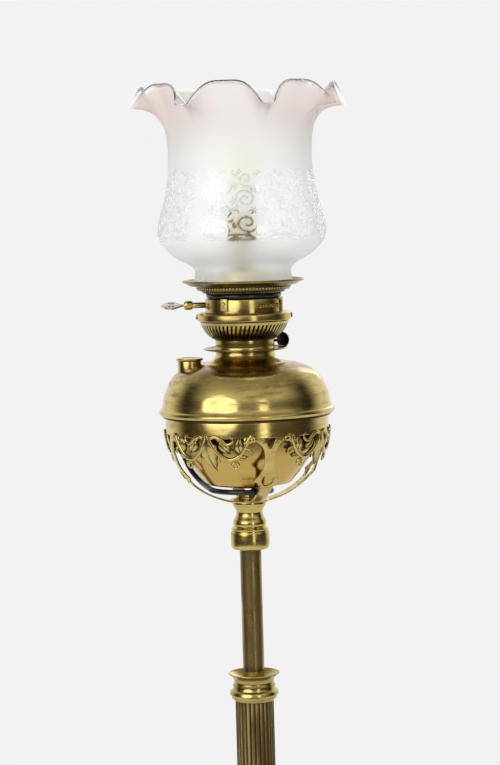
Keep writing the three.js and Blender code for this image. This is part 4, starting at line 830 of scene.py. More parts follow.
SOFT_CORNERS = {"font_bowl": 60}
ROLLED_LIPS = {"gallery_ring": 1.3}
DOME_BEAD, DOME_SWELL, SWELL_LEVEL, SWELL_REACH = 1.3, 2.5, 1194, 28
BEAD_FOOT = (85.5, 1178.4)
NECK_FOOT = (1224.9, 1230)
NECK_FLARE = ((38.5, 1224.3), (33.4, 1226.6), (30.6, 1229.8))


def fuller_dome(line):
    """Swells the dome's side and sweeps the foot of its neck into one hollow curve."""
    rim = max(range(len(line)), key=lambda i: line[i][0])
    line = [Vector(p) / MM for p in line]
    for i, p in enumerate(line):
        if abs(i - rim) < 2:
            p.x += DOME_BEAD
        elif i > rim:
            p.x += DOME_SWELL * max(0, 1 - ((p.y - SWELL_LEVEL) / SWELL_REACH) ** 2)
    line.insert(rim + 2, Vector(BEAD_FOOT))
    low, high = NECK_FOOT
    place = next(i for i, (_, z) in enumerate(line) if low < z < high)
    kept = [p for p in line if not low < p.y < high]
    return [p * MM for p in kept[:place] + [Vector(p) for p in NECK_FLARE] + kept[place:]]


def make_turnings(group):
    """Turns the pieces of one group from the outlines of their CAD nodes."""
    body, rows = TURNINGS[group]
    for node, finish, slot, steps in rows:
        line, closed = node_chain(node)
        if node == "font_dome":
            line = fuller_dome(line)
        shape = spun(flowing(line, closed, corner=SOFT_CORNERS.get(node, CORNER)), closed, steps)
        if node in ROLLED_LIPS:
            wire = ROLLED_LIPS[node] * MM
            reach, top = max(p[0] for p in line) - wire, max(p[1] for p in line) - wire
            angles = [math.tau * k / 12 for k in range(12)]
            rim = [Vector((reach + wire * math.cos(a), top + wire * math.sin(a))) for a in angles]
            absorb(shape, spun(rim, True, steps))
        settle(shape, "fine_" + node, body, finishes[finish], [node])


class LAMP_OT_turnings(bpy.types.Operator):
    """Makes the turned pieces: base, column fittings, tube, font, lampholder, gallery ring and bulb"""
    bl_idname = "lamp.turnings"
    bl_label = "Turned pieces"

    def execute(self, context):
        for group in TURNINGS:
            make_turnings(group)
        return {"FINISHED"}


class LAMP_OT_column(bpy.types.Operator):
    """Makes the reeded column"""
    bl_idname = "lamp.column"
    bl_label = "Reeded column"

    def execute(self, context):
        sizes = context.scene.lamp_sizes
        low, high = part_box("column")
        crest, bore = high.x + 0.2 * MM, 16 * MM
        edge = 0.5 * MM
        line = [(bore, low.z), (crest - edge, low.z), (crest, low.z + edge), (crest, high.z - edge),
                (crest - edge, high.z), (bore, high.z)]
        shape = spun(line, True, sizes.reeds * 12)
        for v in shape.verts:
            radius = v.co.xy.length
            if radius > bore + edge:
                reed = abs(math.sin(sizes.reeds / 2 * math.atan2(v.co.x, -v.co.y)))
                depth = sizes.reed_depth * (1 - reed ** 0.6)
                v.co.xy *= min(radius - depth, high.x) / radius
        settle(shape, "fine_column", "stand", finishes["column_brass"], ["column"], smooth=70)
        return {"FINISHED"}


# Small parts: bevelled copies of their CAD nodes, each with its edge in millimetres and from which angle

SMALL_PARTS = {
    "stand": [("base_nut", "brass", "brass", 0.8, 30), ("grip_collet", "brass", "brass", 0.25, 50),
              ("base_weight", "iron", "iron", 0.8, 40)],
    "head": [("cradle_nut", "brass", "brass", 0.6, 30)],
    "font": [("filler_neck", "burner_brass", "brass", 0.3, 40),
             ("wick_tube_1", "dark_brass", "aged_brass", 0.2, 50),
             ("wick_tube_2", "dark_brass", "aged_brass", 0.2, 50),
             ("lift_stub", "burner_brass", "brass", 0.3, 50),
             ("holder_insert", "black", "black_moulding", 0.3, 50)],
    "winder_1": [("wick_winder_1", "dark_brass", "dark_brass", 0.25, 45)],
    "winder_2": [("wick_winder_2", "dark_brass", "dark_brass", 0.25, 45)],
    "lift": [("lift_shaft", "burner_brass", "brass", 0.22, 45), ("lift_key", "steel", "steel", 0.5, 45)],
    "gallery": [("gallery_rack", "burner_brass", "brass", 0.12, 45)],
    "bulb": [("bulb_cap", "steel", "steel", 0.5, 45)],
}


class LAMP_OT_small_parts(bpy.types.Operator):
    """Makes the nuts, wick tubes, winders, lift key, rack and bulb cap with softened edges"""
    bl_idname = "lamp.small_parts"
    bl_label = "Small parts"

    def execute(self, context):
        for body, rows in SMALL_PARTS.items():
            for node, finish, slot, width, angle in rows:
                shape = edged(node_copy(node), width * MM, angle)
                settle(shape, "fine_" + node, body, finishes[finish], [node])
        return {"FINISHED"}


class LAMP_OT_filler_cap(bpy.types.Operator):
    """Makes the filler's cap, with its rolled edge and the plug that fits the filler neck"""
    bl_idname = "lamp.filler_cap"
    bl_label = "Filler cap"

    def execute(self, context):
        low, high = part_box("filler_cap")
        centre, reach, foot = (low + high) / 2 / MM, (high.x - low.x) / 2 / MM, low.z / MM
        plug, seat = reach * 0.71, foot + 8
        line = [(0, foot), (plug - 0.5, foot), (plug, foot + 0.5), (plug, seat), (reach - 1.9, seat),
                (reach - 0.8, seat + 0.3), (reach, seat + 1.3), (reach - 0.4, seat + 2.3),
                (reach - 1.2, seat + 2.6), (reach - 2, seat + 2.2), (reach - 2.8, seat + 1.9),
                (reach * 0.5, seat + 2.1), (0, seat + 2.2)]
        shape = spun(line, False, 64)
        bmesh.ops.translate(shape, verts=shape.verts, vec=(centre.x, centre.y, 0))
        settle(in_metres(shape), "fine_filler_cap", "cap", finishes["brass"], ["filler_cap"])
        return {"FINISHED"}


CLAW_RADIUS, CLAW_LENGTH, CLAW_LEVEL, CLAW_SPACING = 2.4, 8, 4.2, 9
CLAW_REACHES = (125, 130, 125)


class LAMP_OT_paw_feet(bpy.types.Operator):
    """Makes the four cast paw feet, with rounded toes and claws"""
    bl_idname = "lamp.paw_feet"
    bl_label = "Paw feet"

    def execute(self, context):
        for i in range(4):
            node = f"paw_foot_{i + 1}"
            shape = node_copy(node)
            azimuth = 45 + 90 * i
            out = around(1, azimuth, 0)
            across = Vector((-out.y, out.x, 0))
            for side, reach in zip((-1, 0, 1), CLAW_REACHES):
                centre = out * reach + across * side * CLAW_SPACING + Vector((0, 0, CLAW_LEVEL))
                placed_rod(shape, CLAW_RADIUS * MM, CLAW_LENGTH * MM, centre * MM, out + Vector((0, 0, -0.5)),
                           12, 0.25)
            piece = settle(shape, "fine_" + node, "stand", finishes["cast_brass"], [node])
            for kind, values in (("REMESH", {"mode": "VOXEL", "voxel_size": 1.3 * MM}),
                                 ("SMOOTH", {"factor": 0.5, "iterations": 4})):
                modifier = piece.modifiers.new(kind.lower(), kind)
                for key, value in values.items():
                    setattr(modifier, key, value)
            bake_modifiers(piece)
        return {"FINISHED"}


# Pierced cradle: a plain band, four straps and an embossed frieze of leaf, stems, buds and curls

CRADLE_RADIUS, CRADLE_DEPTH, CRADLE_FLOOR, CRADLE_EQUATOR, CRADLE_WALL = 82, 78, 19, 1161.2, 1.8
BAND_TOP, BAND_BOTTOM, STRAP_AZIMUTH = 8.6, 6.3, 16
CRADLE_FULLNESS = 0.06
CRADLE_FOOT, FLOOR_BORE = CRADLE_EQUATOR - 76.2, 8.6
# The cradle follows an ellipse, and this is its half axis downwards
CRADLE_AXIS = CRADLE_DEPTH / math.sin(math.acos(CRADLE_FLOOR / CRADLE_RADIUS))
STRAP_SIDE = [(25.5, 4.6), (17, 8.2), (10, 13), (6.4, 18.5), (5.1, 24.5), (4.9, 31), (5.6, 36.5), (7.6, 42),
              (10.8, 46.5), (14.6, 50.5), (11, 52.6), (7.9, 56), (6.7, 61), (6.2, 67), (6.2, 79.2)]
STRAP_EAR = 9
STRAP_NOTCH = [(-6, 6.9), (-4, 6.5), (0, 6.3), (4, 6.5), (6, 6.9), (3.4, 11.4), (1, 16.6), (0, 17.4),
               (-1, 16.6), (-3.4, 11.4)]
HOLE_DROP, HOLE_RADIUS = 50.1, 6.1


def cradle_place(azimuth, across, drop, lift=0.0):
    """A point on the cradle's outside, across and down from its equator at an azimuth, lifted outwards."""
    t = math.asin(min(max(drop / CRADLE_AXIS, 0.0), 0.985))
    radius = CRADLE_RADIUS * math.cos(t) * (1 + CRADLE_FULLNESS * eased(math.degrees(t), 18, 50))
    out = Vector((math.cos(t) / CRADLE_RADIUS, -math.sin(t) / CRADLE_AXIS)).normalized() * lift
    turn = math.radians(azimuth) + math.asin(max(-0.99, min(0.99, across / radius)))
    radius += out.x
    return Vector((radius * math.sin(turn), -radius * math.cos(turn), CRADLE_EQUATOR - drop + out.y))


def bent_line(points, spacing):
    """A flat smooth line through points."""
    return [(p.x, p.y) for p in smooth_route([(x, y, 0) for x, y in points], spacing)]


def flat_loop(shape, points):
    """Adds a closed flat outline to a bmesh and returns its edges."""
    verts = [shape.verts.new((x, y, 0)) for x, y in points]
    return [shape.edges.new((a, b)) for a, b in zip(verts, verts[1:] + verts[:1])]


def cradle_strap(azimuth):
    """One strap: a Y with a notch at the top, a waist and a pair of ears round a hole."""
    shape = bmesh.new()
    side = bent_line(STRAP_SIDE[:STRAP_EAR + 1], 1.6) + bent_line(STRAP_SIDE[STRAP_EAR:], 1.6)[1:]
    edges = flat_loop(shape, side + [(-x, y) for x, y in reversed(side)])
    edges += flat_loop(shape, [(HOLE_RADIUS * math.cos(i * math.tau / 28), HOLE_DROP + HOLE_RADIUS *
                                math.sin(i * math.tau / 28)) for i in range(28)])
    edges += flat_loop(shape, STRAP_NOTCH)
    bmesh.ops.triangle_fill(shape, use_beauty=True, use_dissolve=False, edges=edges)
    for axis, first, last, step in (((0, 1, 0), 3, 80, 3.2), ((1, 0, 0), -24, 25, 4)):
        level = first
        while level < last:
            bmesh.ops.bisect_plane(shape, geom=shape.verts[:] + shape.edges[:] + shape.faces[:], dist=0.01,
                                   plane_co=Vector(axis) * level, plane_no=axis)
            level += step
    bmesh.ops.dissolve_degenerate(shape, dist=0.05, edges=shape.edges)
    made = bmesh.ops.extrude_face_region(shape, geom=shape.faces[:])["geom"]
    bmesh.ops.translate(shape, verts=[v for v in made if isinstance(v, bmesh.types.BMVert)],
                        vec=(0, 0, -CRADLE_WALL))
    edged(shape, 0.35, angle=60, segments=2)
    for v in shape.verts:
        v.co = cradle_place(azimuth, v.co.x, v.co.y, v.co.z + 0.15)
    bmesh.ops.recalc_face_normals(shape, faces=shape.faces)
    return shape


def cradle_leaf(shape, azimuth, base, turn, length, half, lift, rows, ribs, curl):
    """Adds one ribbed leaf that swells outwards from base and points along turn, in degrees from down."""
    made = bmesh.ops.create_grid(shape, x_segments=10, y_segments=rows, size=0.5)["verts"]
    for v in made:
        w, s = 2 * v.co.x, v.co.y + 0.5
        wide = half * math.sin(math.pi * min(0.04 + s ** 0.85, 1.0)) ** 0.75
        jag = 1 + 0.05 * math.cos(math.tau * ribs * s) * abs(w)
        swell = lift * (1.05 - 0.95 * w * w) * math.sin(math.pi * min(s + 0.1, 1)) ** 0.6
        vein = 0.10 * lift * math.cos(math.tau * (ribs * s - 0.8 * abs(w))) * abs(w)
        groove = -0.55 * lift * math.exp(-(w * 6) ** 2)
        heading = math.radians(turn + curl * s)
        x, y = w * wide * jag, s * length
        v.co = cradle_place(azimuth, base[0] + x * math.cos(heading) + y * math.sin(heading),
                            base[1] - x * math.sin(heading) + y * math.cos(heading),
                            max(swell + vein + groove, -0.5))
    faces = list({f for v in made for f in v.link_faces})
    back = [v for v in bmesh.ops.extrude_face_region(shape, geom=faces)["geom"]
            if isinstance(v, bmesh.types.BMVert)]
    centre = cradle_place(azimuth, base[0], base[1]) - Vector((0, 0, CRADLE_EQUATOR - 20))
    bmesh.ops.translate(shape, verts=back, vec=-1.2 * centre.normalized())
    bmesh.ops.recalc_face_normals(shape, faces=list({f for v in made + back for f in v.link_faces}))


def cradle_curl(azimuth, centre, radius, turns, start, lift, way):
    """A spiral line on the cradle that winds into its centre."""
    steps = int(turns * 20)
    places = []
    for i in range(steps + 1):
        reach = radius * (1 - 0.8 * i / steps)
        angle = math.radians(start) + way * math.tau * turns * i / steps
        places.append(cradle_place(azimuth, centre[0] + reach * math.cos(angle),
                                   centre[1] + reach * math.sin(angle), lift))
    return places


def wires(name, lines, resolution=3):
    """Round wires in one bmesh, each from points and the radii at its start, middle and end, in mm."""
    curve = round_curve(name, MM, resolution)
    for points, (first, middle, last) in lines:
        spline = add_spline(curve, [Vector(p) * MM for p in points])
        for i, place in enumerate(spline.points):
            t = 2 * i / (len(points) - 1)
            place.radius = first + (middle - first) * t if t < 1 else middle + (last - middle) * (t - 1)
    holder = linked(name + "_line", curve)
    mesh = evaluated_mesh(holder)
    bpy.data.objects.remove(holder)
    shape = bmesh.new()
    shape.from_mesh(mesh)
    bpy.data.meshes.remove(mesh)
    return shape


FRIEZE_STEMS = [
    ([(2, 5), (5, 13), (12, 22.5), (21, 27.5), (30, 24), (36, 16), (40, 8), (43, 3.8)], (1.7, 2.3, 1.5)),
    ([(4, 6), (9, 4.6), (15, 7.5), (20, 12), (25, 10.5), (26.5, 6.5), (24, 4.5)], (2.1, 1.8, 1.2)),
    ([(21, 27), (24, 29.5), (27.5, 30.5)], (1.4, 1.2, 1.2)),
    ([(12, 22), (10, 26), (11, 30)], (1.3, 1.1, 0.8)),
    ([(36, 16), (41, 18), (42, 23)], (1.4, 1.1, 0.7))]
CURL_RADII = (1.4, 1.2, 1.5)
MIDDLE_LEAF = dict(base=(-1, 3.5), turn=-6, length=36, half=9.5, rows=26, ribs=5, curl=16)
BIG_SWELL, SMALL_SWELL, STEM_RISE, CURL_RISE = 1.5, 1.15, 0.35, 0.5  # shares of the relief
FRIEZE_CURLS = [((24.5, 33), 4.0, 1.4, -50), ((44, 8), 3.2, 1.3, 120)]
FRIEZE_LEAVES = [
    ((14.5, 9), 14, 15, 5.6, 18), ((32.5, 21), 200, 16.5, 4.6, -24), ((37, 14), 158, 11.5, 3.4, 14),
    ((4.5, 12), 42, 13, 3.6, -30), ((29, 24.5), 62, 9, 2.8, 30), ((9.5, 4.5), 60, 8.5, 2.8, -20)]


def frieze_depth(point):
    """Painted shade and tarnish in the frieze's recesses: 1 on the cradle's sheet, 0 at the top of the relief.
    """
    share = min(max((CRADLE_EQUATOR - point.z / MM) / CRADLE_AXIS, 0.0), 1.0)
    return 1 - eased(point.xy.length / MM - CRADLE_RADIUS * math.sqrt(1 - share * share), 0.1, 1.9)


def make_cradle_band():
    """The cradle's plain band, its floor with the bore and its four straps, in one piece."""
    top, bottom = CRADLE_EQUATOR + BAND_TOP, CRADLE_EQUATOR - BAND_BOTTOM
    inner = CRADLE_RADIUS - CRADLE_WALL
    band = spun([(inner, bottom), (inner + 0.9, bottom - 0.5), (CRADLE_RADIUS, bottom),
                 (CRADLE_RADIUS, top - 1.6), (CRADLE_RADIUS - 0.3, top - 0.4), (CRADLE_RADIUS - 0.9, top),
                 (inner, top)], True, 144)
    rim, under = CRADLE_FLOOR + 1, CRADLE_FOOT - CRADLE_WALL
    absorb(band, spun([(rim, under), (rim + 0.6, under + 1.2), (rim, CRADLE_FOOT),
                       (FLOOR_BORE, CRADLE_FOOT), (FLOOR_BORE, under)], True, 64))
    for quarter in range(4):
        absorb(band, cradle_strap(STRAP_AZIMUTH + 90 * quarter))
    settle(in_metres(band), "cradle_band", "head", finishes["brass"], ["font_cradle"], smooth=40)


def frieze_side(leaves, azimuth, way, lift):
    """Adds one side's leaves between two straps, and returns the lines of its stems and curls."""
    lines = []
    for points, radii in FRIEZE_STEMS:
        route = bent_line([(way * x, y) for x, y in points], 1.6)
        lines.append(([cradle_place(azimuth, x, y, STEM_RISE * lift) for x, y in route], radii))
    for (x, y), radius, turns, start in FRIEZE_CURLS:
        start = start if way > 0 else 180 - start
        lines.append((cradle_curl(azimuth, (way * x, y), radius, turns, start, CURL_RISE * lift, way),
                      CURL_RADII))
    for (x, y), turn, length, half, curl in FRIEZE_LEAVES:
        cradle_leaf(leaves, azimuth, (way * x, y), way * turn, length, half, SMALL_SWELL * lift, rows=14,
                    ribs=3, curl=way * curl)
    return lines


def make_frieze(lift):
    """The embossed leaves, stems, buds and curls on the band, in one piece."""
    leaves = bmesh.new()
    lines = []
    for quarter in range(4):
        azimuth = STRAP_AZIMUTH - 45 + 90 * quarter
        cradle_leaf(leaves, azimuth, lift=BIG_SWELL * lift, **MIDDLE_LEAF)
        for way in (-1, 1):
            lines += frieze_side(leaves, azimuth, way, lift)
    vines = wires("cradle_vines", lines)
    absorb(vines, in_metres(leaves))
    hollowed(vines, frieze_depth)
    settle(vines, "cradle_frieze", "head", finishes["frieze_brass"], smooth=50)


class LAMP_OT_cradle(bpy.types.Operator):
    """Makes the pierced cradle under the font"""
    bl_idname = "lamp.cradle"
    bl_label = "Pierced cradle"

    def execute(self, context):
        make_cradle_band()
        make_frieze(context.scene.lamp_sizes.relief / MM)
        return {"FINISHED"}


# Burner: slotted basket, belt with lugs, drum with its fittings

BASKET_ROWS = [(29.6, 0.0), (31.8, 1.0), (34.2, 2.6), (37.2, 5.4), (39.7, 8.6), (41.7, 12.0), (43.1, 15.2),
               (44, 17.8)]
BASKET_WALL, LINING_GAP = 0.5, 2.2
LUG_SIZE, LUG_REACH = (2.4, 5, 5), 47.3
DRUM_RADIUS = 39
CATCH_SIZE, CATCH_AZIMUTH, RIVET_RADIUS = (7.4, 3.6, 12.4), -29, 2.2
SPRING_TURNS, SPRING_STEPS, SPRING_START, SPRING_SPAN = 11, 14, 20, 38
SPRING_RADIUS, SPRING_WIRE, SPRING_REACH = 1.7, 0.55, DRUM_RADIUS + 2.55


def pierced(rows, count, low, high):
    """A turned sheet with openings between two levels, each half as wide as its share of the round."""
    shape = spun(rows, False, count * 4)
    cut = []
    for face in shape.faces:
        middle = face.calc_center_median()
        column = int((math.atan2(middle.y, middle.x) % math.tau) / math.tau * count * 4) % 4
        if column in (1, 2) and low < middle.z < high:
            cut.append(face)
    bmesh.ops.delete(shape, geom=cut, context="FACES")
    return shape


def thickened(shape, wall):
    """Gives a sheet its thickness."""
    bmesh.ops.recalc_face_normals(shape, faces=shape.faces)
    bmesh.ops.solidify(shape, geom=shape.faces[:], thickness=wall)
    return shape


def make_basket(sizes):
    """The slotted basket, darker towards its foot by painted shade, and a dark lining that paints shade behind
    its slots.
    """
    bottom, _ = levels("burner_basket")
    rows = [(r, bottom + z) for r, z in BASKET_ROWS]
    shape = pierced(rows, sizes.slots, rows[1][1], rows[-2][1])
    for v in shape.verts:
        turn = sizes.slot_lean * (v.co.z - bottom) / BASKET_ROWS[-1][1]
        v.co = Matrix.Rotation(turn, 3, "Z") @ v.co
    thickened(shape, BASKET_WALL)
    # painted shade: darker towards the foot, where the basket meets the neck
    hollowed(shape, lambda point: 0.75 * (1 - eased(point.z - bottom, 1, 10)))
    settle(in_metres(shape), "slotted_basket", "font", finishes["basket_brass"], ["burner_basket"],
           smooth=40)
    # a dark sheet behind the slots, painted shade for the burner's inside
    lining = spun([(r - LINING_GAP, z) for r, z in rows[1:]], False, 64)
    bmesh.ops.solidify(lining, geom=lining.faces[:], thickness=BASKET_WALL)
    settle(in_metres(lining), "basket_lining", "font", finishes["soot"])


def make_neck():
    """The burner's neck, with a bead where it leaves the font."""
    z0, z1 = levels("burner_neck")
    foot = z0 + 8
    line = [(26.2, z0), (27.4, z0), (27.4, foot), (29.0, foot), (29.6, foot + 0.6), (29.5, foot + 2.4),
            (29.1, foot + 3.2), (29.5, foot + 4), (29.6, z1 - 0.5), (29.2, z1), (28.4, z1),
            (28.4, foot + 1.2), (26.2, foot + 1.2)]
    settle(in_metres(spun(line, True, 96)), "fine_neck", "font", finishes["burner_brass"],
           ["burner_neck"])


def make_belt():
    """The belt over the basket, with its two lugs."""
    z0, z1 = levels("burner_belt")
    line = [(42.8, z0), (46.1, z0), (47.0, z0 + 0.5), (47.3, z0 + 1.3), (47.1, z0 + 3.2), (46.9, z1 - 2.4),
            (46.4, z1 - 1.2), (45.4, z1 - 0.4), (43.5, z1), (36.6, z1), (36.6, z1 - 1.2), (44.9, z1 - 1.2),
            (44.9, z0 + 1.2), (42.8, z0 + 1.2)]
    shape = spun(line, True, 128)
    lugs = bmesh.new()
    for side in (-1, 1):
        placed_block(lugs, LUG_SIZE, (side * LUG_REACH, 0, (z0 + z1) / 2))
    absorb(shape, edged(lugs, 0.5))
    settle(in_metres(shape), "burner_belt_ring", "font", finishes["burner_brass"], ["burner_belt"])


def make_drum():
    """The plain drum under the gallery."""
    z0, z1 = levels("burner_drum")
    line = [(37.8, z0), (DRUM_RADIUS, z0), (DRUM_RADIUS, z1 - 1.2), (38.6, z1 - 0.3), (37.9, z1), (31, z1),
            (31, z1 - 1.2), (37.8, z1 - 1.2)]
    settle(in_metres(spun(line, True, 128)), "burner_drum_ring", "font", finishes["burner_brass"],
           ["burner_drum"])


def make_catch():
    """The block on the drum's side, with its rivet."""
    foot, _ = levels("burner_drum")
    shape = bmesh.new()
    placed_block(shape, CATCH_SIZE, (0, -DRUM_RADIUS - 0.6, foot + 8.2), math.radians(CATCH_AZIMUTH))
    edged(shape, 0.7, 40, 3)
    placed_ball(shape, RIVET_RADIUS, around(DRUM_RADIUS + 2.4, CATCH_AZIMUTH, foot + 9.2), 16)
    settle(in_metres(shape), "fine_catch", "font", finishes["catch_brass"], ["drum_catch"])


def make_spring():
    """The small coil spring that lies round the drum's side, and the bracket that holds it."""
    settle(edged(node_copy("spring_bracket"), 0.3 * MM, 40), "fine_bracket", "font",
           finishes["burner_brass"], ["spring_bracket"])
    middle = sum(levels("burner_drum")) / 2 - 0.05
    places = []
    steps = SPRING_TURNS * SPRING_STEPS
    for i in range(steps + 1):
        turn = i / SPRING_STEPS * math.tau
        azimuth = SPRING_START + SPRING_SPAN * i / steps
        out = around(math.cos(turn), azimuth, math.sin(turn))
        places.append(around(SPRING_REACH, azimuth, middle) + SPRING_RADIUS * out)
    settle(wires("spring", [(places, (SPRING_WIRE,) * 3)], 1), "fine_spring", "font",
           finishes["burner_brass"], ["catch_spring"])


class LAMP_OT_burner(bpy.types.Operator):
    """Makes the slotted basket, the neck, the belt with its lugs, and the drum with its fittings"""
    bl_idname = "lamp.burner"
    bl_label = "Burner body"

    def execute(self, context):
        make_basket(context.scene.lamp_sizes)
        make_neck()
        make_belt()
        make_drum()
        make_catch()
        make_spring()
        return {"FINISHED"}


SKIRT_WALL, BEAD_RADIUS, STUD_RADIUS = 1.1, 1.42, 1.0
FLARE_START, FLARE_END, FLARE_LEVEL, FLARE_SLOPE = 50, 58.3, 1300.344, 0.54


def darken_flare(mesh):
    """Marks painted shade on the underside of the gallery ring's flare, which rises outwards."""
    under = mesh.attributes.new("hollow", "FLOAT", "POINT")
    for v, value in zip(mesh.vertices, under.data):
        radius, level = v.co.xy.length / MM, v.co.z / MM
        below = level < FLARE_LEVEL + FLARE_SLOPE * (radius - FLARE_START)
        value.value = 0.8 if FLARE_START < radius < FLARE_END and below else 0.0


class LAMP_OT_gallery_skirt(bpy.types.Operator):
    """Makes the beaded and pierced skirt under the gallery ring, all of it darkened by painted shade"""
    bl_idname = "lamp.gallery_skirt"
    bl_label = "Gallery skirt"

    def execute(self, context):
        beads = context.scene.lamp_sizes.beads
        z0, z1 = levels("gallery_skirt")
        rows = [(40, z0), (40.6, z0 + 0.7), (41, z0 + 2), (42.2, z0 + 2.9), (45.6, z0 + 3.2), (46, z0 + 4.2),
                (46.3, z1)]
        shape = thickened(pierced(rows, beads, rows[1][1], rows[2][1]), SKIRT_WALL)
        # painted shade over the whole skirt, which lies under the gallery ring
        hollowed(shape, lambda point: 0.9)
        for i in range(beads):
            azimuth = 360 * i / beads
            placed_ball(shape, BEAD_RADIUS, around(46.2, azimuth, z0 + 4.6), 8, (1, 1, 1.1))
            placed_ball(shape, STUD_RADIUS, around(41.4, azimuth + 180 / beads, z0 + 2.3), 8)
        darken_flare(bpy.data.objects["fine_gallery_ring"].data)
        settle(in_metres(shape), "beaded_skirt", "gallery", finishes["frieze_brass"],
               ["gallery_skirt"], smooth=50)
        return {"FINISHED"}


# Shade: frosted glass with a crimped rim and a clear band of scrolls and flowers

# Shares of SHADE_RADIUS and of SHADE_HEIGHT, from the foot up
SHADE_SHARES = [(0.596, 0), (0.573, 0.08), (0.83, 0.16), (0.98, 0.24), (0.99, 0.32), (0.9, 0.47), (0.85, 0.62),
                (0.855, 0.77), (0.882, 0.828), (0.94, 0.889), (1.002, 0.932), (1.093, 0.966), (1.238, 0.998)]
SHADE_RADIUS, SHADE_HEIGHT, SHADE_BOTTOM, SHADE_WALL = 84.6, 187, 1302.1, 3
CRIMP_START, CRIMP_OUT, CRIMP_DOWN, CRIMP_AZIMUTH = 0.77, 7.6, 11.6, 15
BAND_LOW, BAND_HIGH, BAND_RADIUS, PANEL_AZIMUTH = 1347, 1417, 69, 13
BAND_MARGIN, ON_OUTSIDE = 3, 0.05
LINE_CORE, LINE_EDGE = 0.55, 1.5  # shares of a line's half width
BLUSH_LOW, BLUSH_HIGH = 1428, 1482
CLEAR_RIM = (0.984, 0.992)
BIG_SCROLLS = ((11, 17, 9.5, 1.3, 200, 1.0), (12, 40, 9, 1.35, 20, 1.0), (29, 27, 9.5, 1.3, 230, 1.0),
               (30, 50, 9, 1.3, 300, 0.95), (11, 59, 7, 1.2, 250, 0.9), (32, 9, 7, 1.2, 100, 0.95))
PANEL_STEM = ((2, 2), (20, 6), (40, 4), (44, 18), (40, 34), (44, 48), (39, 62), (30, 67))
SIDE_FLOWERS = ((21, 2.8, 3.4), (21, 38, 4.2), (38, 57, 3.6), (5, 29, 3.4), (37, 20, 3.2))
MIDDLE_FLOWERS = ((0, 10, 5), (0, 50, 4.6), (0, 64, 3.2))
SPRIGS = ((18, 28, 60), (22, 12, 110), (20, 50, 80), (34, 39, 30), (6, 47, 100), (8, 5, 20), (26, 62, 160),
          (35, 30, 200), (14, 66, 10))


def scroll(x, y, radius, turns, start):
    """A spiral line that winds into (x, y)."""
    steps = int(10 + 16 * turns)
    out = []
    for i in range(steps + 1):
        reach = radius * (1 - 0.78 * i / steps)
        angle = math.radians(start) + math.tau * turns * i / steps
        out.append((x + reach * math.cos(angle), y + reach * math.sin(angle)))
    return out


def rays(x, y, angles, inner, outer):
    """Short straight lines that point away from (x, y) at angles in degrees."""
    return [[(x + reach * math.cos(math.radians(a)), y + reach * math.sin(math.radians(a)))
             for reach in (inner, outer)] for a in angles]


def panel_lines():
    """The clear lines of one panel, in millimetres from its middle and its foot, each with a half width."""
    half = [(bent_line(PANEL_STEM, 1.2), 1.1)]
    for *spiral, width in BIG_SCROLLS:
        half.append((scroll(*spiral), width))
    for i in range(16):
        y = 4 + 4 * i
        half.append(([(43, y), (47 + 2.6 * (i % 2), y + 2.2)], 0.85))
        half.append(([(41, y + 1), (37.5, y + 2.6)], 0.6))
    for x, y, radius in SIDE_FLOWERS:
        half += [(petal, 0.95) for petal in rays(x, y, range(0, 360, 60), 0.35 * radius, radius)]
    for x, y, turn in SPRIGS:
        half += [(blade, 0.6) for blade in rays(x, y, [turn + 24 * (part - 1.5) for part in range(4)], 0, 6)]
    lines = [([(way * x, y) for x, y in points], width) for way in (-1, 1) for points, width in half]
    for x, y, radius in MIDDLE_FLOWERS:
        lines += [(petal, 0.9) for petal in rays(x, y, range(0, 360, 45), 0.3 * radius, radius)]
    lines.append(([(x, 0.6) for x in range(-44, 45)], 0.8))
    return lines


def clear_field():
    """A tree of the panel's points, and the half width at each."""
    places, widths = [], []
    for points, width in panel_lines():
        for (x0, y0), (x1, y1) in zip(points, points[1:]):
            parts = max(1, int(math.hypot(x1 - x0, y1 - y0) / 0.5))
            for k in range(parts + 1):
                places.append((x0 + (x1 - x0) * k / parts, y0 + (y1 - y0) * k / parts, 0))
                widths.append(width)
    return tree_of(places), widths


def shade_section():
    """The shade's outside from the foot to the rim, and its inside with a wall that thins towards the rim."""
    outer = [Vector(p) for p in bent_line(
        [(SHADE_RADIUS * r, SHADE_BOTTOM + SHADE_HEIGHT * z) for r, z in SHADE_SHARES], 1.5)]
    inner = []
    for i in range(0, len(outer), 4):
        along = (outer[min(i + 1, len(outer) - 1)] - outer[max(i - 1, 0)]).normalized()
        wall = SHADE_WALL * (1 - 0.5 * eased(i / len(outer), 0.7, 0.95))
        inner.append(outer[i] + wall * Vector((-along.y, along.x)))
    return outer, inner


def crimped(place, azimuth, share, lobes):
    """Moves a point of the shade to where the crimp takes it: out and down in a lobe, in and up in a dip."""
    from_dip = abs(((azimuth - CRIMP_AZIMUTH) * lobes / 180 + 1) % 2 - 1)
    arch = 1 - (1 - min(max((from_dip - 0.12) / 0.74, 0), 1)) ** 3
    fold = 1 - 2 * arch * eased(from_dip, 0.04, 0.24)
    reach = min(max((share - CRIMP_START) / (1 - CRIMP_START), 0), 1)
    place.xy *= 1 + CRIMP_OUT * fold * reach ** 1.9 / place.xy.length
    place.z -= CRIMP_DOWN * fold * reach ** 4


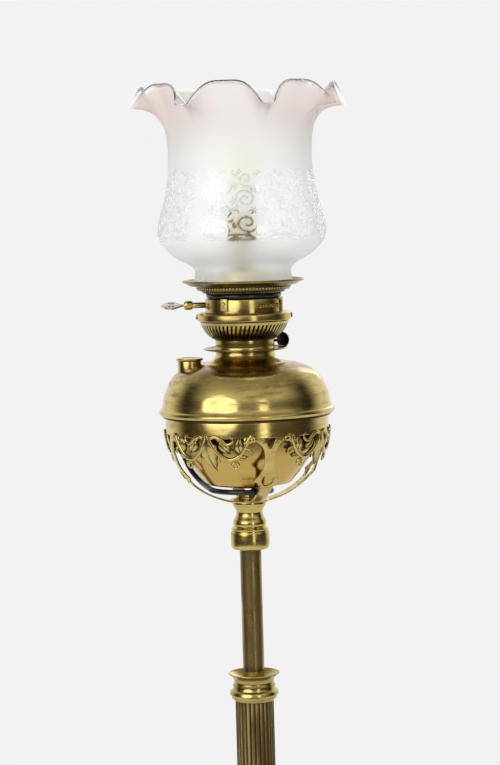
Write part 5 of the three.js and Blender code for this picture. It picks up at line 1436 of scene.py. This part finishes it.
class LAMP_OT_shade(bpy.types.Operator):
    """Makes the crimped glass shade with its clear scrolled band and pink rim"""
    bl_idname = "lamp.shade"
    bl_label = "Glass shade"

    def execute(self, context):
        lobes = context.scene.lamp_sizes.lobes
        outer, inner = shade_section()
        tip = (outer[-1] + inner[-1]) / 2 + (outer[-1] - outer[-2]).normalized()
        if (inner[-1] - outer[-1]).length <= 1:
            inner[-1] = outer[-1] - Vector((0, SHADE_WALL))
        shape = spun([tuple(p) for p in (*outer, tip, *reversed(inner))], True, 360)
        clear = shape.verts.layers.float.new("clear")
        blush = shape.verts.layers.float.new("blush")
        tree, widths = clear_field()
        outside = tree_of([(p.x, p.y, 0) for p in outer])
        for v in shape.verts:
            level = v.co.z
            share = (level - SHADE_BOTTOM) / SHADE_HEIGHT
            azimuth = math.degrees(math.atan2(v.co.x, -v.co.y))
            away = outside.find((v.co.xy.length, level, 0))[2]
            value = 0.0 if away < ON_OUTSIDE else 1.0
            if away < ON_OUTSIDE and BAND_LOW - BAND_MARGIN < level < BAND_HIGH + BAND_MARGIN:
                offset = (azimuth - PANEL_AZIMUTH + 45) % 90 - 45
                near = tree.find((math.radians(offset) * BAND_RADIUS, level - BAND_LOW, 0))
                width = widths[near[1]]
                value = 1 - eased(near[2], width * LINE_CORE, width * LINE_EDGE)
            v[clear] = max(value, eased(share, *CLEAR_RIM))
            sideways = abs(math.sin(math.radians(azimuth)))
            v[blush] = eased(level, BLUSH_LOW, BLUSH_HIGH) * (0.5 + 0.5 * sideways ** 1.5)
            crimped(v.co, azimuth, share, lobes)
        settle(in_metres(shape), "crimped_shade", "shade", finishes["shade"], ["glass_shade"],
               smooth=60)
        return {"FINISHED"}


# Stage

class LAMP_OT_camera(bpy.types.Operator):
    """Sets the camera at the photograph's viewing angle"""
    bl_idname = "lamp.camera"
    bl_label = "Camera"

    def execute(self, context):
        looks = context.scene.lamp_stage
        data = bpy.data.cameras.new("camera")
        data.sensor_fit = "VERTICAL"
        data.sensor_height = 36
        data.lens = looks.lens
        data.clip_end = 60
        camera = linked("camera", data)
        turn = (Matrix.Rotation(math.radians(looks.pan), 4, "Z")
                @ Matrix.Rotation(math.pi / 2 - looks.pitch, 4, "X") @ Matrix.Rotation(-looks.roll, 4, "Z"))
        camera.matrix_world = Matrix.Translation((0, -looks.distance, looks.camera_height)) @ turn
        context.scene.camera = camera
        return {"FINISHED"}


def softbox(name, azimuth, distance, height, size, aim, radiance, shape="RECTANGLE"):
    """A light that faces the lamp, with the same brightness whatever its size."""
    data = bpy.data.lights.new(name, "AREA")
    data.shape = shape
    data.size, data.size_y = size
    data.energy = radiance * math.pi * size[0] * size[1] * (math.pi / 4 if shape == "ELLIPSE" else 1)
    light = linked(name, data)
    place = around(distance, azimuth, height)
    light.rotation_euler = (Vector((0, 0, aim)) - place).to_track_quat("-Z", "Y").to_euler()
    light.location = place


def make_floor(backdrop):
    """The pale floor, which fades into the background."""
    shape = bmesh.new()
    bmesh.ops.create_circle(shape, cap_ends=True, segments=96, radius=3.0)
    mesh = bpy.data.meshes.new("floor")
    shape.to_mesh(mesh)
    shape.free()
    f = Finish("pale_floor")
    radius = f.node("VectorMath", {0: f.place()}, operation="LENGTH").outputs["Value"]
    faded = f.spread(radius, 0.7, 2.4, 0, 1)
    mesh.materials.append(f.give(
        Base_Color=f.tint(faded, paint((0.88, 0.88, 0.88)), paint((0, 0, 0))), Roughness=0.9,
        Specular_IOR_Level=0.0, Emission_Color=backdrop, Emission_Strength=faded))
    linked("floor", mesh)


def make_room(looks, backdrop):
    """The world: even for the camera, soft as light, and a room with a dark side as metal reflects it."""
    world = bpy.data.worlds.new("white_room")
    world.use_nodes = True
    world.node_tree.nodes.clear()
    room = Nodes(world.node_tree)
    ray = room.node("LightPath").outputs
    direction = room.node("TexCoord").outputs["Generated"]
    along = room.node("SeparateXYZ", {0: direction}).outputs

    def part(axis, low, high):
        return room.spread(along[axis], low, high, 0, 1)

    white = paint((1.0, 1.0, 1.0))
    tone, dark = paint(looks.room_tone), paint(tuple(0.3 * c for c in looks.room_tone))
    front = room.tint(part("Z", 0.12, 0.6), tone, paint((looks.ceiling,) * 3))
    sides = room.tint(part("Y", looks.front_to, looks.dark_from), front, dark)
    mirror = room.tint(part("Y", looks.dark_from, looks.white_from), sides, white)
    mirror = room.tint(part("Z", 0.5, 0.85), mirror, paint((0.42, 0.40, 0.36)))
    seen = room.tint(ray["Is Glossy Ray"], paint((looks.fill,) * 3), mirror)
    seen = room.tint(ray["Is Transmission Ray"], seen, white)
    seen = room.tint(ray["Is Camera Ray"], seen, backdrop)
    room.node("OutputWorld", {"Surface": room.node("Background", {"Color": seen}).outputs[0]})
    return world


class LAMP_OT_stage(bpy.types.Operator):
    """Makes the pale floor, the studio lights and the white surroundings"""
    bl_idname = "lamp.stage"
    bl_label = "Stage"

    def execute(self, context):
        looks = context.scene.lamp_stage
        backdrop = paint((looks.backdrop,) * 3)
        make_floor(backdrop)
        context.scene.world = make_room(looks, backdrop)
        softbox("left_umbrella", -38, 2.5, 1.9, (2.3, 1.7), 1.3, looks.left_light * 0.85, "ELLIPSE")
        softbox("right_softbox", 23, 2.6, 1.45, (0.5, 1.9), 1.25, looks.right_light)
        softbox("back_softbox", 160, 3.2, 2.4, (0.7, 1.6), 1.2, looks.left_light * 0.4)
        context.scene.view_settings.view_transform = "Standard"
        return {"FINISHED"}


class LAMP_PT_panel(bpy.types.Panel):
    """Lists the lamp's pieces, sizes and colours"""
    bl_idname = "LAMP_PT_panel"
    bl_label = "Floor oil lamp"
    bl_space_type = "VIEW_3D"
    bl_region_type = "UI"
    bl_category = "Lamp"

    def draw(self, context):
        for name in ("lamp_looks", "lamp_sizes", "lamp_stage"):
            group = getattr(context.scene, name)
            for key in group.bl_rna.properties.keys():
                if key not in {"rna_type", "name"}:
                    self.layout.prop(group, key)
        for step in STEPS:
            self.layout.operator(step.bl_idname)


STEPS = [LAMP_OT_camera, LAMP_OT_free_lead, LAMP_OT_lamp_flex, LAMP_OT_turnings, LAMP_OT_column,
         LAMP_OT_small_parts, LAMP_OT_filler_cap, LAMP_OT_paw_feet, LAMP_OT_cradle, LAMP_OT_burner,
         LAMP_OT_gallery_skirt, LAMP_OT_shade, LAMP_OT_stage]
CLASSES = [LampLooks, LampSizes, LampStage, *STEPS, LAMP_PT_panel]


def register():
    for kind in CLASSES:
        bpy.utils.register_class(kind)
    bpy.types.Scene.lamp_looks = PointerProperty(type=LampLooks)
    bpy.types.Scene.lamp_sizes = PointerProperty(type=LampSizes)
    bpy.types.Scene.lamp_stage = PointerProperty(type=LampStage)


def unregister():
    del bpy.types.Scene.lamp_looks, bpy.types.Scene.lamp_sizes, bpy.types.Scene.lamp_stage
    for kind in reversed(CLASSES):
        bpy.utils.unregister_class(kind)


def main():
    register()
    make_finishes(bpy.context.scene.lamp_looks)
    for step in STEPS:
        group, name = step.bl_idname.split(".")
        getattr(getattr(bpy.ops, group), name)()


if __name__ == "__main__":
    main()
